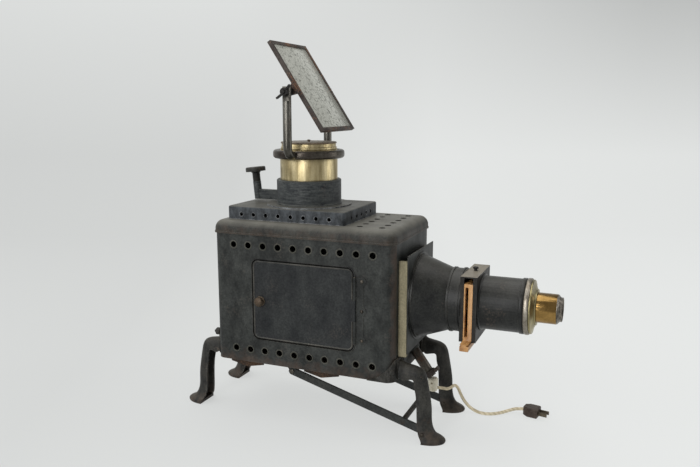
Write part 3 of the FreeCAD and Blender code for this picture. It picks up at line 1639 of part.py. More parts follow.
def build():
    side_wall("side_wall_near", -1)
    side_wall("side_wall_far", 1)
    front_wall()
    node(end_wall("rear_wall", -half_length, d.sheet - half_length))
    bottom_plate()
    lid()
    vent_box()
    door()
    door_stop()
    hinge_leaf()
    hinge_pin()
    hinge_rivets()
    door_knob()
    latch_tongue()
    for end in ("front", "rear"):
        for name, side in (("near", -1), ("far", 1)):
            leg(f"leg_{end}_{name}", end == "front", side)
    leg_bolts()
    front_plate()
    group("front_rails", [front_rail("front_rail", side) for side in (-1, 1)])
    condenser_cell()
    condenser_lenses()
    condenser_cone()
    slide_stage()
    stage_screw()
    slide_carrier()
    front_tube()
    tube_rim()
    lens_flange()
    front_lens_barrel()
    lens_tip_ring()
    front_lens_glasses()
    lens_collar()
    adjusting_knob()
    top_lens_barrel()
    top_lens_cell()
    top_lens_glasses()
    lens_cap()
    yoke_ring()
    group("yoke_posts", [yoke_post("yoke_post", side) for side in (-1, 1)])
    pivot_screws()
    wing_nut("wing_nut_near", -1, d.wing_angle)
    wing_nut("wing_nut_far", 1, d.far_wing_angle)
    mirror_frame()
    mirror_glass()
    group("copy_bars", [copy_bar("copy_bar", side) for side in (-1, 1)])
    copy_cross_bar()
    copy_pivot_pins()
    copy_plate()
    plate_pins()
    lamp_sleeve()
    lamp_tube()
    lamp_clamp()
    lamp_connector()
    lamp_holder()
    lamp_bulb()
    cord()
    plug_body()
    plug_prongs()
    doc.recompute()


def check():
    for thing in doc.Objects:
        if {"Invalid", "Error"} & set(thing.State):
            raise RuntimeError(f"{thing.Label}: {thing.State}")
    for piece in nodes:
        if piece.Shape.isNull() or not piece.Shape.isValid() or not piece.Shape.Solids:
            raise RuntimeError(f"{piece.Label}: shape is missing or not valid")


build()
check()
os.makedirs("parts", exist_ok=True)
for piece in nodes:
    piece.Shape.exportStep(f"parts/{piece.Label}.step")
print(len(nodes), "pieces written")
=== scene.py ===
import math

import bmesh
import bpy
from mathutils import Matrix, Vector


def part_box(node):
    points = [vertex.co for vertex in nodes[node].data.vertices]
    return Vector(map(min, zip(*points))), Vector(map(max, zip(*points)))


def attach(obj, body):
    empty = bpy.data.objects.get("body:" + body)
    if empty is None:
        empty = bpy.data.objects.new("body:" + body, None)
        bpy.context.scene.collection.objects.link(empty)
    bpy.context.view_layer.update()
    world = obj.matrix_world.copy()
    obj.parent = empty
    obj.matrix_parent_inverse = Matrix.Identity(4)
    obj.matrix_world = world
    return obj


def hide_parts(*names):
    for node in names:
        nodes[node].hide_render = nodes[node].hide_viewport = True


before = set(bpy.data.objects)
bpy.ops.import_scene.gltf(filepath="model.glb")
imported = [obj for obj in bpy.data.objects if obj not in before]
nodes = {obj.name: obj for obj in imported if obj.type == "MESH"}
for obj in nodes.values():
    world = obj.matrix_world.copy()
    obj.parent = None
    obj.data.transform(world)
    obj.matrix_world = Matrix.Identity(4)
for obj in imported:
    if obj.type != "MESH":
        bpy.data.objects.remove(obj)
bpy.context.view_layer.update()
scene = bpy.context.scene
mm = 0.001
print("frame loaded,", len(nodes), "nodes")

# Camera, as the photograph was taken

cameraView = {
    "place": (0.4385, -1.135, 0.5455),
    "tilt": 79.827,   # degrees up from straight down
    "turn": 22.395,   # degrees round from looking along +Y
    "lens": 36.55,
    "sensor": 36.0,
}


def setCamera():
    data = bpy.data.cameras.new("camera")
    data.lens = cameraView["lens"]
    data.sensor_width = cameraView["sensor"]
    camera = bpy.data.objects.new("camera", data)
    camera.location = cameraView["place"]
    camera.rotation_euler = (math.radians(cameraView["tilt"]), 0, math.radians(cameraView["turn"]))
    scene.collection.objects.link(camera)
    scene.camera = camera


setCamera()
print("camera set")

# Small helpers


def tone(hexColor):
    parts = [int(hexColor[i:i + 2], 16) / 255 for i in (1, 3, 5)]
    linear = [c / 12.92 if c <= 0.04045 else ((c + 0.055) / 1.055) ** 2.4 for c in parts]
    return (*linear, 1.0)


def perMm(size):
    return 1000 / size   # pattern scale for a feature of this size on Object coordinates


def addNode(tree, kind, links=None, **settings):
    made = tree.nodes.new(kind)
    for name, value in settings.items():
        setattr(made, name, value)
    for socket, value in (links or {}).items():
        if isinstance(value, bpy.types.NodeSocket):
            tree.links.new(value, made.inputs[socket])
        else:
            made.inputs[socket].default_value = value
    return made


def newFinish(name):
    material = bpy.data.materials.new(name)
    material.use_nodes = True
    material.node_tree.nodes.clear()
    return material, material.node_tree


def newPiece(name, mesh, material, body, smooth=40):
    data = bpy.data.meshes.new(name)
    mesh.to_mesh(data)
    mesh.free()
    data.shade_smooth()
    data.set_sharp_from_angle(angle=math.radians(smooth))
    piece = bpy.data.objects.new(name, data)
    scene.collection.objects.link(piece)
    data.materials.append(material)
    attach(piece, body)
    return piece


# Studio: pale paper, swept up into a wall, that glows with painted light of its own so that shadows on it
# stay faint, its glow painted down towards the upper right and lower left as painted shade; a tall softbox
# beside the camera, a strip on the right and an overhead panel

studio = {
    "paper": "#6a6b6a",
    "glow": "#eceeed",
    "glowPower": 0.745,
    # the two shares below paint the glow down in those corners: painted shade
    "upperRightPaintedShade": 0.43,   # share of the glow left in that corner of the picture
    "lowerLeftPaintedShade": 0.775,
    "halfWidth": 6.0,
    "front": -4.0,
    "wallAt": 1.7,
    "sweep": 0.9,
    "height": 4.0,
    "sky": 0.34,
    "lamps": {
        "softbox": {"place": (-0.35, -2.6, 1.2), "size": (0.8, 2.2), "power": 38},
        "strip": {"place": (2.3, 0.85, 1.1), "size": (0.7, 2.0), "power": 14},
        "window": {"place": (-2.3, -1.6, 2.0), "size": (2.2, 2.2), "power": 34},
        "overhead": {"place": (-0.4, 0.3, 2.9), "size": (2.8, 2.8), "power": 50},
    },
    "aim": (0.0, 0.0, 0.3),
}


def paperFinish():
    # painted glow: the paper emits light, so shadows on it stay faint; the glow is painted lower towards the
    # lower left of the floor and the upper right of the wall (painted shade)
    material, tree = newFinish("paper sweep, painted glow")
    place = addNode(tree, "ShaderNodeTexCoord")
    facing = addNode(tree, "ShaderNodeMapping", {
        "Vector": place.outputs["Object"], "Rotation": (0, 0, -math.radians(cameraView["turn"]))})
    aside = addNode(tree, "ShaderNodeSeparateXYZ", {0: facing.outputs[0]})
    across = addNode(tree, "ShaderNodeMapRange", {
        "Value": aside.outputs["X"], "From Min": -0.6, "From Max": 1.5})
    upward = addNode(tree, "ShaderNodeMapRange", {
        "Value": aside.outputs["Z"], "From Min": 0.3, "From Max": 1.5})
    low = addNode(tree, "ShaderNodeMapRange", {
        "Value": aside.outputs["X"], "From Min": -0.6, "From Max": 0.4,
        "To Min": studio["lowerLeftPaintedShade"], "To Max": 1.0})
    high = addNode(tree, "ShaderNodeMapRange", {
        "Value": across.outputs[0], "To Min": 1.0, "To Max": studio["upperRightPaintedShade"]})
    share = addNode(tree, "ShaderNodeMix", {0: upward.outputs[0], 2: low.outputs[0], 3: high.outputs[0]})
    power = addNode(tree, "ShaderNodeMath", {
        0: share.outputs[0], 1: studio["glowPower"]}, operation="MULTIPLY")
    shader = addNode(tree, "ShaderNodeBsdfPrincipled", {
        "Base Color": tone(studio["paper"]), "Roughness": 0.9, "Specular IOR Level": 0.1,
        "Emission Color": tone(studio["glow"]), "Emission Strength": power.outputs[0]})
    addNode(tree, "ShaderNodeOutputMaterial", {"Surface": shader.outputs[0]})
    return material


def makePaper():
    sheet = bmesh.new()
    edge = [sheet.verts.new((-studio["halfWidth"], studio["front"], 0))]
    edge.append(sheet.verts.new((-studio["halfWidth"], studio["wallAt"], 0)))
    sheet.edges.new(edge)
    centre = Vector((0, studio["wallAt"], studio["sweep"]))
    curve = bmesh.ops.spin(sheet, geom=[edge[1]], cent=centre, axis=(1, 0, 0), angle=math.pi / 2, steps=24)
    last = next(item for item in curve["geom_last"] if isinstance(item, bmesh.types.BMVert))
    top = bmesh.ops.extrude_vert_indiv(sheet, verts=[last])["verts"]
    bmesh.ops.translate(sheet, verts=top, vec=(0, 0, studio["height"]))
    wide = bmesh.ops.extrude_edge_only(sheet, edges=sheet.edges[:])["geom"]
    moved = [item for item in wide if isinstance(item, bmesh.types.BMVert)]
    bmesh.ops.translate(sheet, verts=moved, vec=(2 * studio["halfWidth"], 0, 0))
    turned = Matrix.Rotation(math.radians(cameraView["turn"]), 3, "Z")
    bmesh.ops.rotate(sheet, verts=sheet.verts, matrix=turned)
    bmesh.ops.recalc_face_normals(sheet, faces=sheet.faces)
    data = bpy.data.meshes.new("paper")
    sheet.to_mesh(data)
    sheet.free()
    data.shade_smooth()
    data.materials.append(paperFinish())
    paper = bpy.data.objects.new("paper", data)
    scene.collection.objects.link(paper)


def setLamps():
    for name, lamp in studio["lamps"].items():
        data = bpy.data.lights.new(name, "AREA")
        data.shape = "RECTANGLE"
        data.size, data.size_y = lamp["size"]
        data.energy = lamp["power"]
        item = bpy.data.objects.new(name, data)
        item.location = lamp["place"]
        toward = Vector(studio["aim"]) - item.location
        item.rotation_euler = toward.to_track_quat("-Z", "Y").to_euler()
        scene.collection.objects.link(item)
    world = bpy.data.worlds.new("studio")
    world.use_nodes = True
    background = world.node_tree.nodes["Background"]
    background.inputs["Color"].default_value = (1, 1, 1, 1)
    background.inputs["Strength"].default_value = studio["sky"]
    scene.world = world
    scene.view_settings.view_transform = "Standard"


makePaper()
setLamps()
print("studio ready")

# Finishes

# Painted and metal surfaces that have aged. Clouded colour, specks where the coat has failed, bare edges
# (on the blued japan also a painted highlight), dust on what faces up and rust towards a height or an end,
# each ramp in metres along an axis.
agedDefaults = {
    "base": "#1a1c1b", "cloud": "#343634", "cloudMm": 22, "stretch": (1, 1, 0.6), "grain": 0.2,
    "speck": "#57483c", "speckMm": 3.0, "speckFrom": 0.67, "speckShare": 0.12,
    "edge": "#5f5c55", "edgeMm": 1.6, "edgeShare": 0.45,
    "dust": "#55524a", "dustShare": 0.0,
    "rust": "#4a3a30", "rustRamps": (), "rustShare": 0.0, "rustMm": 14,
    "rough": (0.42, 0.62), "metal": 0.0, "gloss": 0.22, "bumpMm": 1.4, "bump": 0.12,
}


def agedFinish(name, **changes):
    look = {**agedDefaults, **changes}
    material, tree = newFinish(name)
    place = addNode(tree, "ShaderNodeTexCoord")
    drawn = addNode(tree, "ShaderNodeMapping", {"Vector": place.outputs["Object"], "Scale": look["stretch"]})
    cloud = addNode(tree, "ShaderNodeTexNoise", {
        "Vector": drawn.outputs[0], "Scale": perMm(look["cloudMm"]), "Detail": 6.0, "Roughness": 0.62})
    clouded = addNode(tree, "ShaderNodeMapRange", {
        "Value": cloud.outputs[0], "From Min": 0.35, "From Max": 0.66})
    color = addNode(tree, "ShaderNodeMix", {
        0: clouded.outputs[0], 6: tone(look["base"]), 7: tone(look["cloud"])}, data_type="RGBA").outputs[2]
    # specks gather where a wider pattern lets them
    fine = addNode(tree, "ShaderNodeTexNoise", {
        "Vector": place.outputs["Object"], "Scale": perMm(look["speckMm"]), "Detail": 3.0, "Roughness": 0.7})
    wide = addNode(tree, "ShaderNodeTexNoise", {
        "Vector": place.outputs["Object"], "Scale": perMm(look["speckMm"] * 14), "Detail": 2.0})
    gathered = addNode(tree, "ShaderNodeMath", {0: fine.outputs[0], 1: wide.outputs[0]}, operation="ADD")
    speckLow = look["speckFrom"] * 1.75   # two patterns are added, so the level is higher than for one
    speck = addNode(tree, "ShaderNodeMapRange", {
        "Value": gathered.outputs[0], "From Min": speckLow, "From Max": speckLow + 0.12,
        "To Max": look["speckShare"]})
    color = addNode(tree, "ShaderNodeMix", {
        0: speck.outputs[0], 6: color, 7: tone(look["speck"])}, data_type="RGBA").outputs[2]
    # the same fine pattern makes the coat uneven in tone and shine all over
    uneven = addNode(tree, "ShaderNodeMapRange", {
        "Value": fine.outputs[0], "From Min": 0.35, "From Max": 0.65,
        "To Min": 1 - look["grain"], "To Max": 1 + look["grain"]})
    color = addNode(tree, "ShaderNodeVectorMath", {
        0: color, "Scale": uneven.outputs[0]}, operation="SCALE").outputs[0]
    if look["rustShare"]:
        spot = addNode(tree, "ShaderNodeSeparateXYZ", {0: place.outputs["Object"]})
        near = 0.0
        for axis, clear, full in look["rustRamps"]:
            ramp = addNode(tree, "ShaderNodeMapRange", {
                "Value": spot.outputs[axis], "From Min": clear, "From Max": full, "To Max": 0.55})
            nearer = addNode(tree, "ShaderNodeMath", {0: ramp.outputs[0], 1: near}, operation="MAXIMUM")
            near = nearer.outputs[0]
        patch = addNode(tree, "ShaderNodeTexNoise", {
            "Vector": place.outputs["Object"], "Scale": perMm(look["rustMm"]),
            "Detail": 7.0, "Roughness": 0.65})
        both = addNode(tree, "ShaderNodeMath", {0: near, 1: patch.outputs[0]}, operation="ADD")
        rusted = addNode(tree, "ShaderNodeMapRange", {
            "Value": both.outputs[0], "From Min": 0.72, "From Max": 1.0, "To Max": look["rustShare"]})
        color = addNode(tree, "ShaderNodeMix", {
            0: rusted.outputs[0], 6: color, 7: tone(look["rust"])}, data_type="RGBA").outputs[2]
    # lighter edges: bare metal where the coat is rubbed through; on the blued japan of the vent box also a
    # painted highlight on its corners
    if look["edgeShare"]:
        rounded = addNode(tree, "ShaderNodeBevel", {"Radius": look["edgeMm"] * mm}, samples=6)
        facing = addNode(tree, "ShaderNodeNewGeometry")
        match = addNode(tree, "ShaderNodeVectorMath", {
            0: rounded.outputs[0], 1: facing.outputs["Normal"]}, operation="DOT_PRODUCT")
        edge = addNode(tree, "ShaderNodeMapRange", {
            "Value": match.outputs["Value"], "From Min": 0.985, "From Max": 0.88,
            "To Max": look["edgeShare"]})
        rubbed = addNode(tree, "ShaderNodeMath", {
            0: edge.outputs[0], 1: clouded.outputs[0]}, operation="MULTIPLY")
        color = addNode(tree, "ShaderNodeMix", {
            0: rubbed.outputs[0], 6: color, 7: tone(look["edge"])}, data_type="RGBA").outputs[2]
    if look["dustShare"]:
        up = addNode(tree, "ShaderNodeSeparateXYZ", {0: place.outputs["Normal"]})
        flat = addNode(tree, "ShaderNodeMapRange", {
            "Value": up.outputs["Z"], "From Min": 0.35, "From Max": 0.95})
        settled = addNode(tree, "ShaderNodeMath", {
            0: flat.outputs[0], 1: look["dustShare"]}, operation="MULTIPLY")
        patchy = addNode(tree, "ShaderNodeMapRange", {
            "Value": cloud.outputs[0], "To Min": 0.45, "To Max": 1.25})
        layer = addNode(tree, "ShaderNodeMath", {
            0: settled.outputs[0], 1: patchy.outputs[0]}, operation="MULTIPLY", use_clamp=True)
        color = addNode(tree, "ShaderNodeMix", {
            0: layer.outputs[0], 6: color, 7: tone(look["dust"])}, data_type="RGBA").outputs[2]
    sheen = addNode(tree, "ShaderNodeMapRange", {
        "Value": gathered.outputs[0], "From Min": 0.75, "From Max": 1.25,
        "To Min": look["rough"][0], "To Max": look["rough"][1]})
    grit = addNode(tree, "ShaderNodeTexNoise", {
        "Vector": drawn.outputs[0], "Scale": perMm(look["bumpMm"]), "Detail": 3.0})
    relief = addNode(tree, "ShaderNodeBump", {
        "Height": grit.outputs[0], "Strength": look["bump"], "Distance": 0.4 * mm})
    shine = addNode(tree, "ShaderNodeMath", {0: uneven.outputs[0], 1: look["gloss"]}, operation="MULTIPLY")
    shader = addNode(tree, "ShaderNodeBsdfPrincipled", {
        "Base Color": color, "Roughness": sheen.outputs[0], "Metallic": look["metal"],
        "Specular IOR Level": shine.outputs[0], "Normal": relief.outputs[0]})
    addNode(tree, "ShaderNodeOutputMaterial", {"Surface": shader.outputs[0]})
    return material


# Stoved black japan on tinplate: a satin black that greys with handling and rusts from pinholes
japan = agedFinish("black japan", dustShare=0.5, rustShare=0.5, rustRamps=(("Z", 0.14, 0.09),))
japanSide = agedFinish("black japan, side", dustShare=0.5, rustShare=0.5,
                       rustRamps=(("Z", 0.14, 0.09), ("X", 0.072, 0.086)))
japanDoor = agedFinish("black japan, door", base="#17191b", cloud="#2b2d2d", cloudMm=30)
# The same japan on a rolled edge, greyed by hands, and lighter than the door partly as a painted highlight
# along the bead
doorRim = agedFinish("black japan rim, rubbed and painted highlight", base="#292a28", cloud="#44433f", speckShare=0.3)
# Dead black ring round the door: painted shadow in the gap, dead black, no shine
paintedGapShadow = agedFinish("painted shadow in the door gap", base="#0c0c0b", cloud="#141312", gloss=0.05, rough=(0.8, 0.9),
                      edgeShare=0.0)
# Japan over blued sheet: cold grey, mottled, bright on its corners, partly rubbed paint and partly a painted
# highlight on the corners
japanBox = agedFinish("black japan, blued", base="#1f2224", cloud="#484c50", cloudMm=11, dustShare=0.9,
                      dust="#56544c", edge="#b4b6b8", edgeShare=0.8, edgeMm=2.0)
# Japan under years of dust: brown-grey on top, black at the sides
japanLid = agedFinish("black japan, dusty", base="#1e1f1d", cloud="#373733", dust="#68665e",
                      dustShare=0.9, rust="#5a4538", rustShare=0.25, rustRamps=(("Z", 0.36, 0.32),))
# Japan kept polished by handling: darker and a little glossier
japanTube = agedFinish("black japan, handled", base="#151616", cloud="#262725", rough=(0.32, 0.46),
                       dustShare=0.3, speckShare=0.25)
# Sand-cast iron under black paint: grainy, brown where the paint is off
castIron = agedFinish("painted cast iron", base="#1a1a19", cloud="#363531", cloudMm=14, bumpMm=2.6,
                      bump=0.3, rustShare=0.7, rustRamps=(("Z", 0.06, -0.02),), rust="#463a31",
                      speckShare=0.5, edgeShare=0.4, edge="#5d564c", dustShare=0.3, dust="#4d483f")
# Japan rubbed thin on raised rims, lighter than the wall: partly wear and partly a painted highlight on the
# rims
ventRim = agedFinish("black japan, rubbed and painted highlight", base="#34352f", cloud="#4b4a44", edgeShare=0.0,
                     speckShare=0.2)
# Painted iron casting, turned: faint rings round it
castCollar = agedFinish("painted cast collar", base="#1f2225", cloud="#434645", cloudMm=18, bumpMm=2.0,
                        bump=0.2, speckShare=0.2, stretch=(1, 1, 5), dustShare=0.3, edge="#8a8a7c")
# Mild steel rod gone dark: half metal, brown bloom
darkSteel = agedFinish("darkened steel", base="#55514a", cloud="#332d29", metal=0.8, rough=(0.26, 0.44),
                       speck="#4d362a", speckShare=0.7, edgeShare=0.0)
# Steel rod rubbed bright along its length
postSteel = agedFinish("rubbed steel", base="#6c6a64", cloud="#3d3a35", cloudMm=20, stretch=(1, 1, 0.3),
                       metal=0.9, rough=(0.28, 0.44), speck="#57402f", speckShare=0.5, edgeShare=0.0)
# Flat bar, oil-blacked: even dark grey, low shine
blackBar = agedFinish("blacked bar", base="#262827", cloud="#343634", rough=(0.45, 0.6), edgeShare=0.1)
# Oil-blacked screws and nuts
blackScrew = agedFinish("blacked screw", base="#171615", cloud="#24211e", speckShare=0.2, edgeShare=0.2)
# Folded steel strip, rusted brown through old paint
rustySteel = agedFinish("rusted steel", base="#2f2724", cloud="#4b4540", speck="#6d4a33", speckShare=0.7,
                        speckFrom=0.6, rough=(0.5, 0.7), edge="#7d7468", dustShare=0.15)
# Steel plate rusted all over: dull, brown, rough
copySteel = agedFinish("rusted plate", base="#2b231e", cloud="#3b3028", speck="#55402f", speckShare=0.6,
                       speckFrom=0.6, rough=(0.65, 0.85), edge="#5c4c3e")
# Japanned stage, thick with pale dust on top
stageSteel = agedFinish("black stage steel", base="#1d1c1a", cloud="#2b2925", rough=(0.4, 0.58),
                        dustShare=1.0, dust="#7d7668", speckShare=0.3)
# Lacquered brass, tarnished: streaks that run up and down from wiping
agedBrass = agedFinish("tarnished brass", base="#cdbf98", cloud="#7c6c47", grain=0.12, cloudMm=16,
                       stretch=(1, 1, 0.12), metal=1.0, rough=(0.3, 0.48), speck="#6d5c38", speckMm=2.4,
                       speckShare=0.35, edge="#efe6c4", bump=0.04)
# Brass under a dark gold lacquer: deep colour, clear reflections
goldBrass = agedFinish("gold brass", base="#9b7c4a", cloud="#6b532b", grain=0.12, cloudMm=26, metal=1.0,
                       rough=(0.15, 0.26), speck="#5f461d", speckShare=0.3, edge="#dcc892", bump=0.03)
# Spun brass with its lacquer gone: greenish, dull
flangeBrass = agedFinish("dull brass", base="#a1966f", cloud="#746c4f", grain=0.15, cloudMm=20, metal=1.0,
                         rough=(0.28, 0.44), speck="#5d563c", speckShare=0.5, edge="#e2dcba", bump=0.04)
# Nickel plate worn thin: grey with yellow showing through
nickel = agedFinish("worn nickel", base="#9c968b", cloud="#746c5f", grain=0.15, cloudMm=12, metal=0.9,
                    rough=(0.3, 0.5), speck="#4a4238", speckShare=0.6, speckFrom=0.58, edge="#d2ccbe",
                    bump=0.08)
# Turned ring with most of its plating gone
tipSteel = agedFinish("dark tip", base="#857f76", cloud="#38342f", cloudMm=8, metal=0.9,
                      rough=(0.25, 0.4), edge="#cfc9bb", bump=0.04)
# Brown lacquer on a spun brass cap, dusty
capPaint = agedFinish("dull cap lacquer", base="#54473b", cloud="#6f6151", rough=(0.4, 0.55),
                      dustShare=0.5, dust="#716a5d", metal=0.3, edge="#a08f68")
# Cast bronze knob, dark in its hollows
bronze = agedFinish("handled bronze", base="#4d4438", cloud="#272119", cloudMm=4, metal=0.6,
                    rough=(0.35, 0.5), edge="#a89c84", speckShare=0.5, speckFrom=0.6)
# Pressed board, khaki, fibrous
millboard = agedFinish("pressed board", base="#7d765f", cloud="#938b73", grain=0.15, cloudMm=18,
                       speck="#5d5546", speckShare=0.5, rough=(0.8, 0.92), edgeShare=0.0, bumpMm=2.5,
                       bump=0.35, stretch=(1, 1, 0.35))
# Pressed porcelain, cream glaze: smooth, with small dark marks
porcelain = agedFinish("glazed porcelain", base="#d6d1bf", cloud="#beb69f", grain=0.06, speck="#7d705a",
                       speckShare=0.5, rough=(0.15, 0.3), edgeShare=0.0, bump=0.02, gloss=0.5)
# Moulded phenolic: brown, half matt
bakelite = agedFinish("moulded phenolic", base="#332924", cloud="#463b34", rough=(0.4, 0.6),
                      speck="#5d5047", edge="#7a6b5e", edgeShare=0.4, dustShare=0.3)
# Brass blades gone brown
plugMetal = agedFinish("plug blades", base="#5f5749", cloud="#453d33", metal=0.8, rough=(0.35, 0.5))


def mirrorFinish():
    # silvered glass whose backing has crazed: pale, cloudy, with fine dark cracks about 9 mm apart
    material, tree = newFinish("crazed silvering")
    place = addNode(tree, "ShaderNodeTexCoord")
    warp = addNode(tree, "ShaderNodeTexNoise", {
        "Vector": place.outputs["Object"], "Scale": perMm(30), "Detail": 4.0})
    bent = addNode(tree, "ShaderNodeMix", {
        0: 0.035, 4: place.outputs["Object"], 5: warp.outputs["Color"]}, data_type="VECTOR")
    crack = addNode(tree, "ShaderNodeTexVoronoi", {
        "Vector": bent.outputs[1], "Scale": perMm(9)}, feature="DISTANCE_TO_EDGE")
    line = addNode(tree, "ShaderNodeMapRange", {
        "Value": crack.outputs["Distance"], "From Min": 0.1, "From Max": 0.0, "To Max": 0.85})
    broken = addNode(tree, "ShaderNodeTexNoise", {
        "Vector": place.outputs["Object"], "Scale": perMm(7), "Detail": 3.0})
    kept = addNode(tree, "ShaderNodeMapRange", {
        "Value": broken.outputs[0], "From Min": 0.4, "From Max": 0.55})
    cracks = addNode(tree, "ShaderNodeMath", {0: line.outputs[0], 1: kept.outputs[0]}, operation="MULTIPLY")
    cloud = addNode(tree, "ShaderNodeTexNoise", {
        "Vector": place.outputs["Object"], "Scale": perMm(45), "Detail": 5.0})
    base = addNode(tree, "ShaderNodeMix", {
        0: cloud.outputs[0], 6: tone("#dcddd3"), 7: tone("#c6c6bb")}, data_type="RGBA")
    color = addNode(tree, "ShaderNodeMix", {
        0: cracks.outputs[0], 6: base.outputs[2], 7: tone("#35362f")}, data_type="RGBA")
    rough = addNode(tree, "ShaderNodeMapRange", {"Value": cracks.outputs[0], "To Min": 0.22, "To Max": 0.6})
    shader = addNode(tree, "ShaderNodeBsdfPrincipled", {
        "Base Color": color.outputs[2], "Roughness": rough.outputs[0], "Metallic": 0.55})
    addNode(tree, "ShaderNodeOutputMaterial", {"Surface": shader.outputs[0]})
    return material


def woodFinish():
    # varnished beech: straight grain along the board, small dark flecks
    material, tree = newFinish("varnished beech")
    place = addNode(tree, "ShaderNodeTexCoord")
    drawn = addNode(tree, "ShaderNodeMapping", {"Vector": place.outputs["Object"], "Scale": (1, 0.12, 1)})
    grain = addNode(tree, "ShaderNodeTexNoise", {
        "Vector": drawn.outputs[0], "Scale": perMm(3.2), "Detail": 6.0, "Roughness": 0.65})
    fleck = addNode(tree, "ShaderNodeTexNoise", {
        "Vector": drawn.outputs[0], "Scale": perMm(14), "Detail": 3.0})
    color = addNode(tree, "ShaderNodeMix", {
        0: grain.outputs[0], 6: tone("#c89b62"), 7: tone("#98693a")}, data_type="RGBA")
    worn = addNode(tree, "ShaderNodeMapRange", {"Value": fleck.outputs[0], "From Min": 0.5, "From Max": 0.75})
    aged = addNode(tree, "ShaderNodeMix", {
        0: worn.outputs[0], 6: color.outputs[2], 7: tone("#80542f")}, data_type="RGBA")
    relief = addNode(tree, "ShaderNodeBump", {
        "Height": grain.outputs[0], "Strength": 0.2, "Distance": 0.3 * mm})
    shader = addNode(tree, "ShaderNodeBsdfPrincipled", {
        "Base Color": aged.outputs[2], "Roughness": 0.42, "Normal": relief.outputs[0]})
    addNode(tree, "ShaderNodeOutputMaterial", {"Surface": shader.outputs[0]})
    return material


def glassFinish():
    # polished crown glass with a faint dusty haze
    material, tree = newFinish("lens glass")
    place = addNode(tree, "ShaderNodeTexCoord")
    haze = addNode(tree, "ShaderNodeTexNoise", {
        "Vector": place.outputs["Object"], "Scale": perMm(9), "Detail": 4.0})
    rough = addNode(tree, "ShaderNodeMapRange", {"Value": haze.outputs[0], "To Min": 0.02, "To Max": 0.12})
    shader = addNode(tree, "ShaderNodeBsdfPrincipled", {
        "Base Color": tone("#eef3f0"), "Roughness": rough.outputs[0], "IOR": 1.52,
        "Transmission Weight": 1.0})
    addNode(tree, "ShaderNodeOutputMaterial", {"Surface": shader.outputs[0]})
    return material


def flexFinish():
    # braided cotton over twin rubber cores: cream, greyed, with the plait showing as fine diagonal ticks
    material, tree = newFinish("cotton braid")
    place = addNode(tree, "ShaderNodeTexCoord")
    plait = addNode(tree, "ShaderNodeTexWave", {
        "Vector": place.outputs["Object"], "Scale": perMm(3) / 6, "Distortion": 2.0, "Detail": 2.0},
        bands_direction="DIAGONAL")
    grime = addNode(tree, "ShaderNodeTexNoise", {
        "Vector": place.outputs["Object"], "Scale": perMm(22), "Detail": 4.0})
    color = addNode(tree, "ShaderNodeMix", {
        0: plait.outputs[0], 6: tone("#bdb092"), 7: tone("#d8cdb2")}, data_type="RGBA")
    soiled = addNode(tree, "ShaderNodeMapRange", {
        "Value": grime.outputs[0], "From Min": 0.45, "From Max": 0.7, "To Max": 0.55})
    aged = addNode(tree, "ShaderNodeMix", {
        0: soiled.outputs[0], 6: color.outputs[2], 7: tone("#978b70")}, data_type="RGBA")
    relief = addNode(tree, "ShaderNodeBump", {
        "Height": plait.outputs[0], "Strength": 0.4, "Distance": 0.4 * mm})
    shader = addNode(tree, "ShaderNodeBsdfPrincipled", {
        "Base Color": aged.outputs[2], "Roughness": 0.85, "Normal": relief.outputs[0]})
    addNode(tree, "ShaderNodeOutputMaterial", {"Surface": shader.outputs[0]})
    return material


mirrorFace = mirrorFinish()
beech = woodFinish()
lensGlass = glassFinish()
cottonBraid = flexFinish()
print("finishes made")

# Flex from the lamp to its plug

flex = {
    "diameter": 0.0055,
    "route": [
        (132.5, 6.6, 62.7), (139, 14, 60), (144.4, 25, 54.6), (148.4, 37, 52.6), (151.6, 47.3, 54),
        (154.5, 56.6, 50.6), (157.2, 63.6, 41.8), (160.8, 67, 30), (167.8, 68.7, 17.3), (179, 67.8, 7.2),
        (193.7, 63.6, 3.1), (211, 62.6, 3), (228, 73, 3.1), (242.6, 88.7, 4.2), (256.5, 97, 7.9),
        (269.5, 96.1, 9),
    ],
}


def layFlex():
    data = bpy.data.curves.new("flex", "CURVE")
    data.dimensions = "3D"
    data.bevel_depth = flex["diameter"] / 2
    data.bevel_resolution = 4
    data.resolution_u = 10
    data.use_fill_caps = True
    spline = data.splines.new("NURBS")
    spline.points.add(len(flex["route"]) - 1)
    for point, spot in zip(spline.points, flex["route"]):
        point.co = (*[value * mm for value in spot], 1)
    spline.order_u = 3
    spline.use_endpoint_u = True
    data.materials.append(cottonBraid)
    cord = bpy.data.objects.new("flex", data)
    scene.collection.objects.link(cord)
    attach(cord, "house")
    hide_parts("cord")


layFlex()
print("flex laid")

# Finish and edge rounding of the pieces that come straight from the model

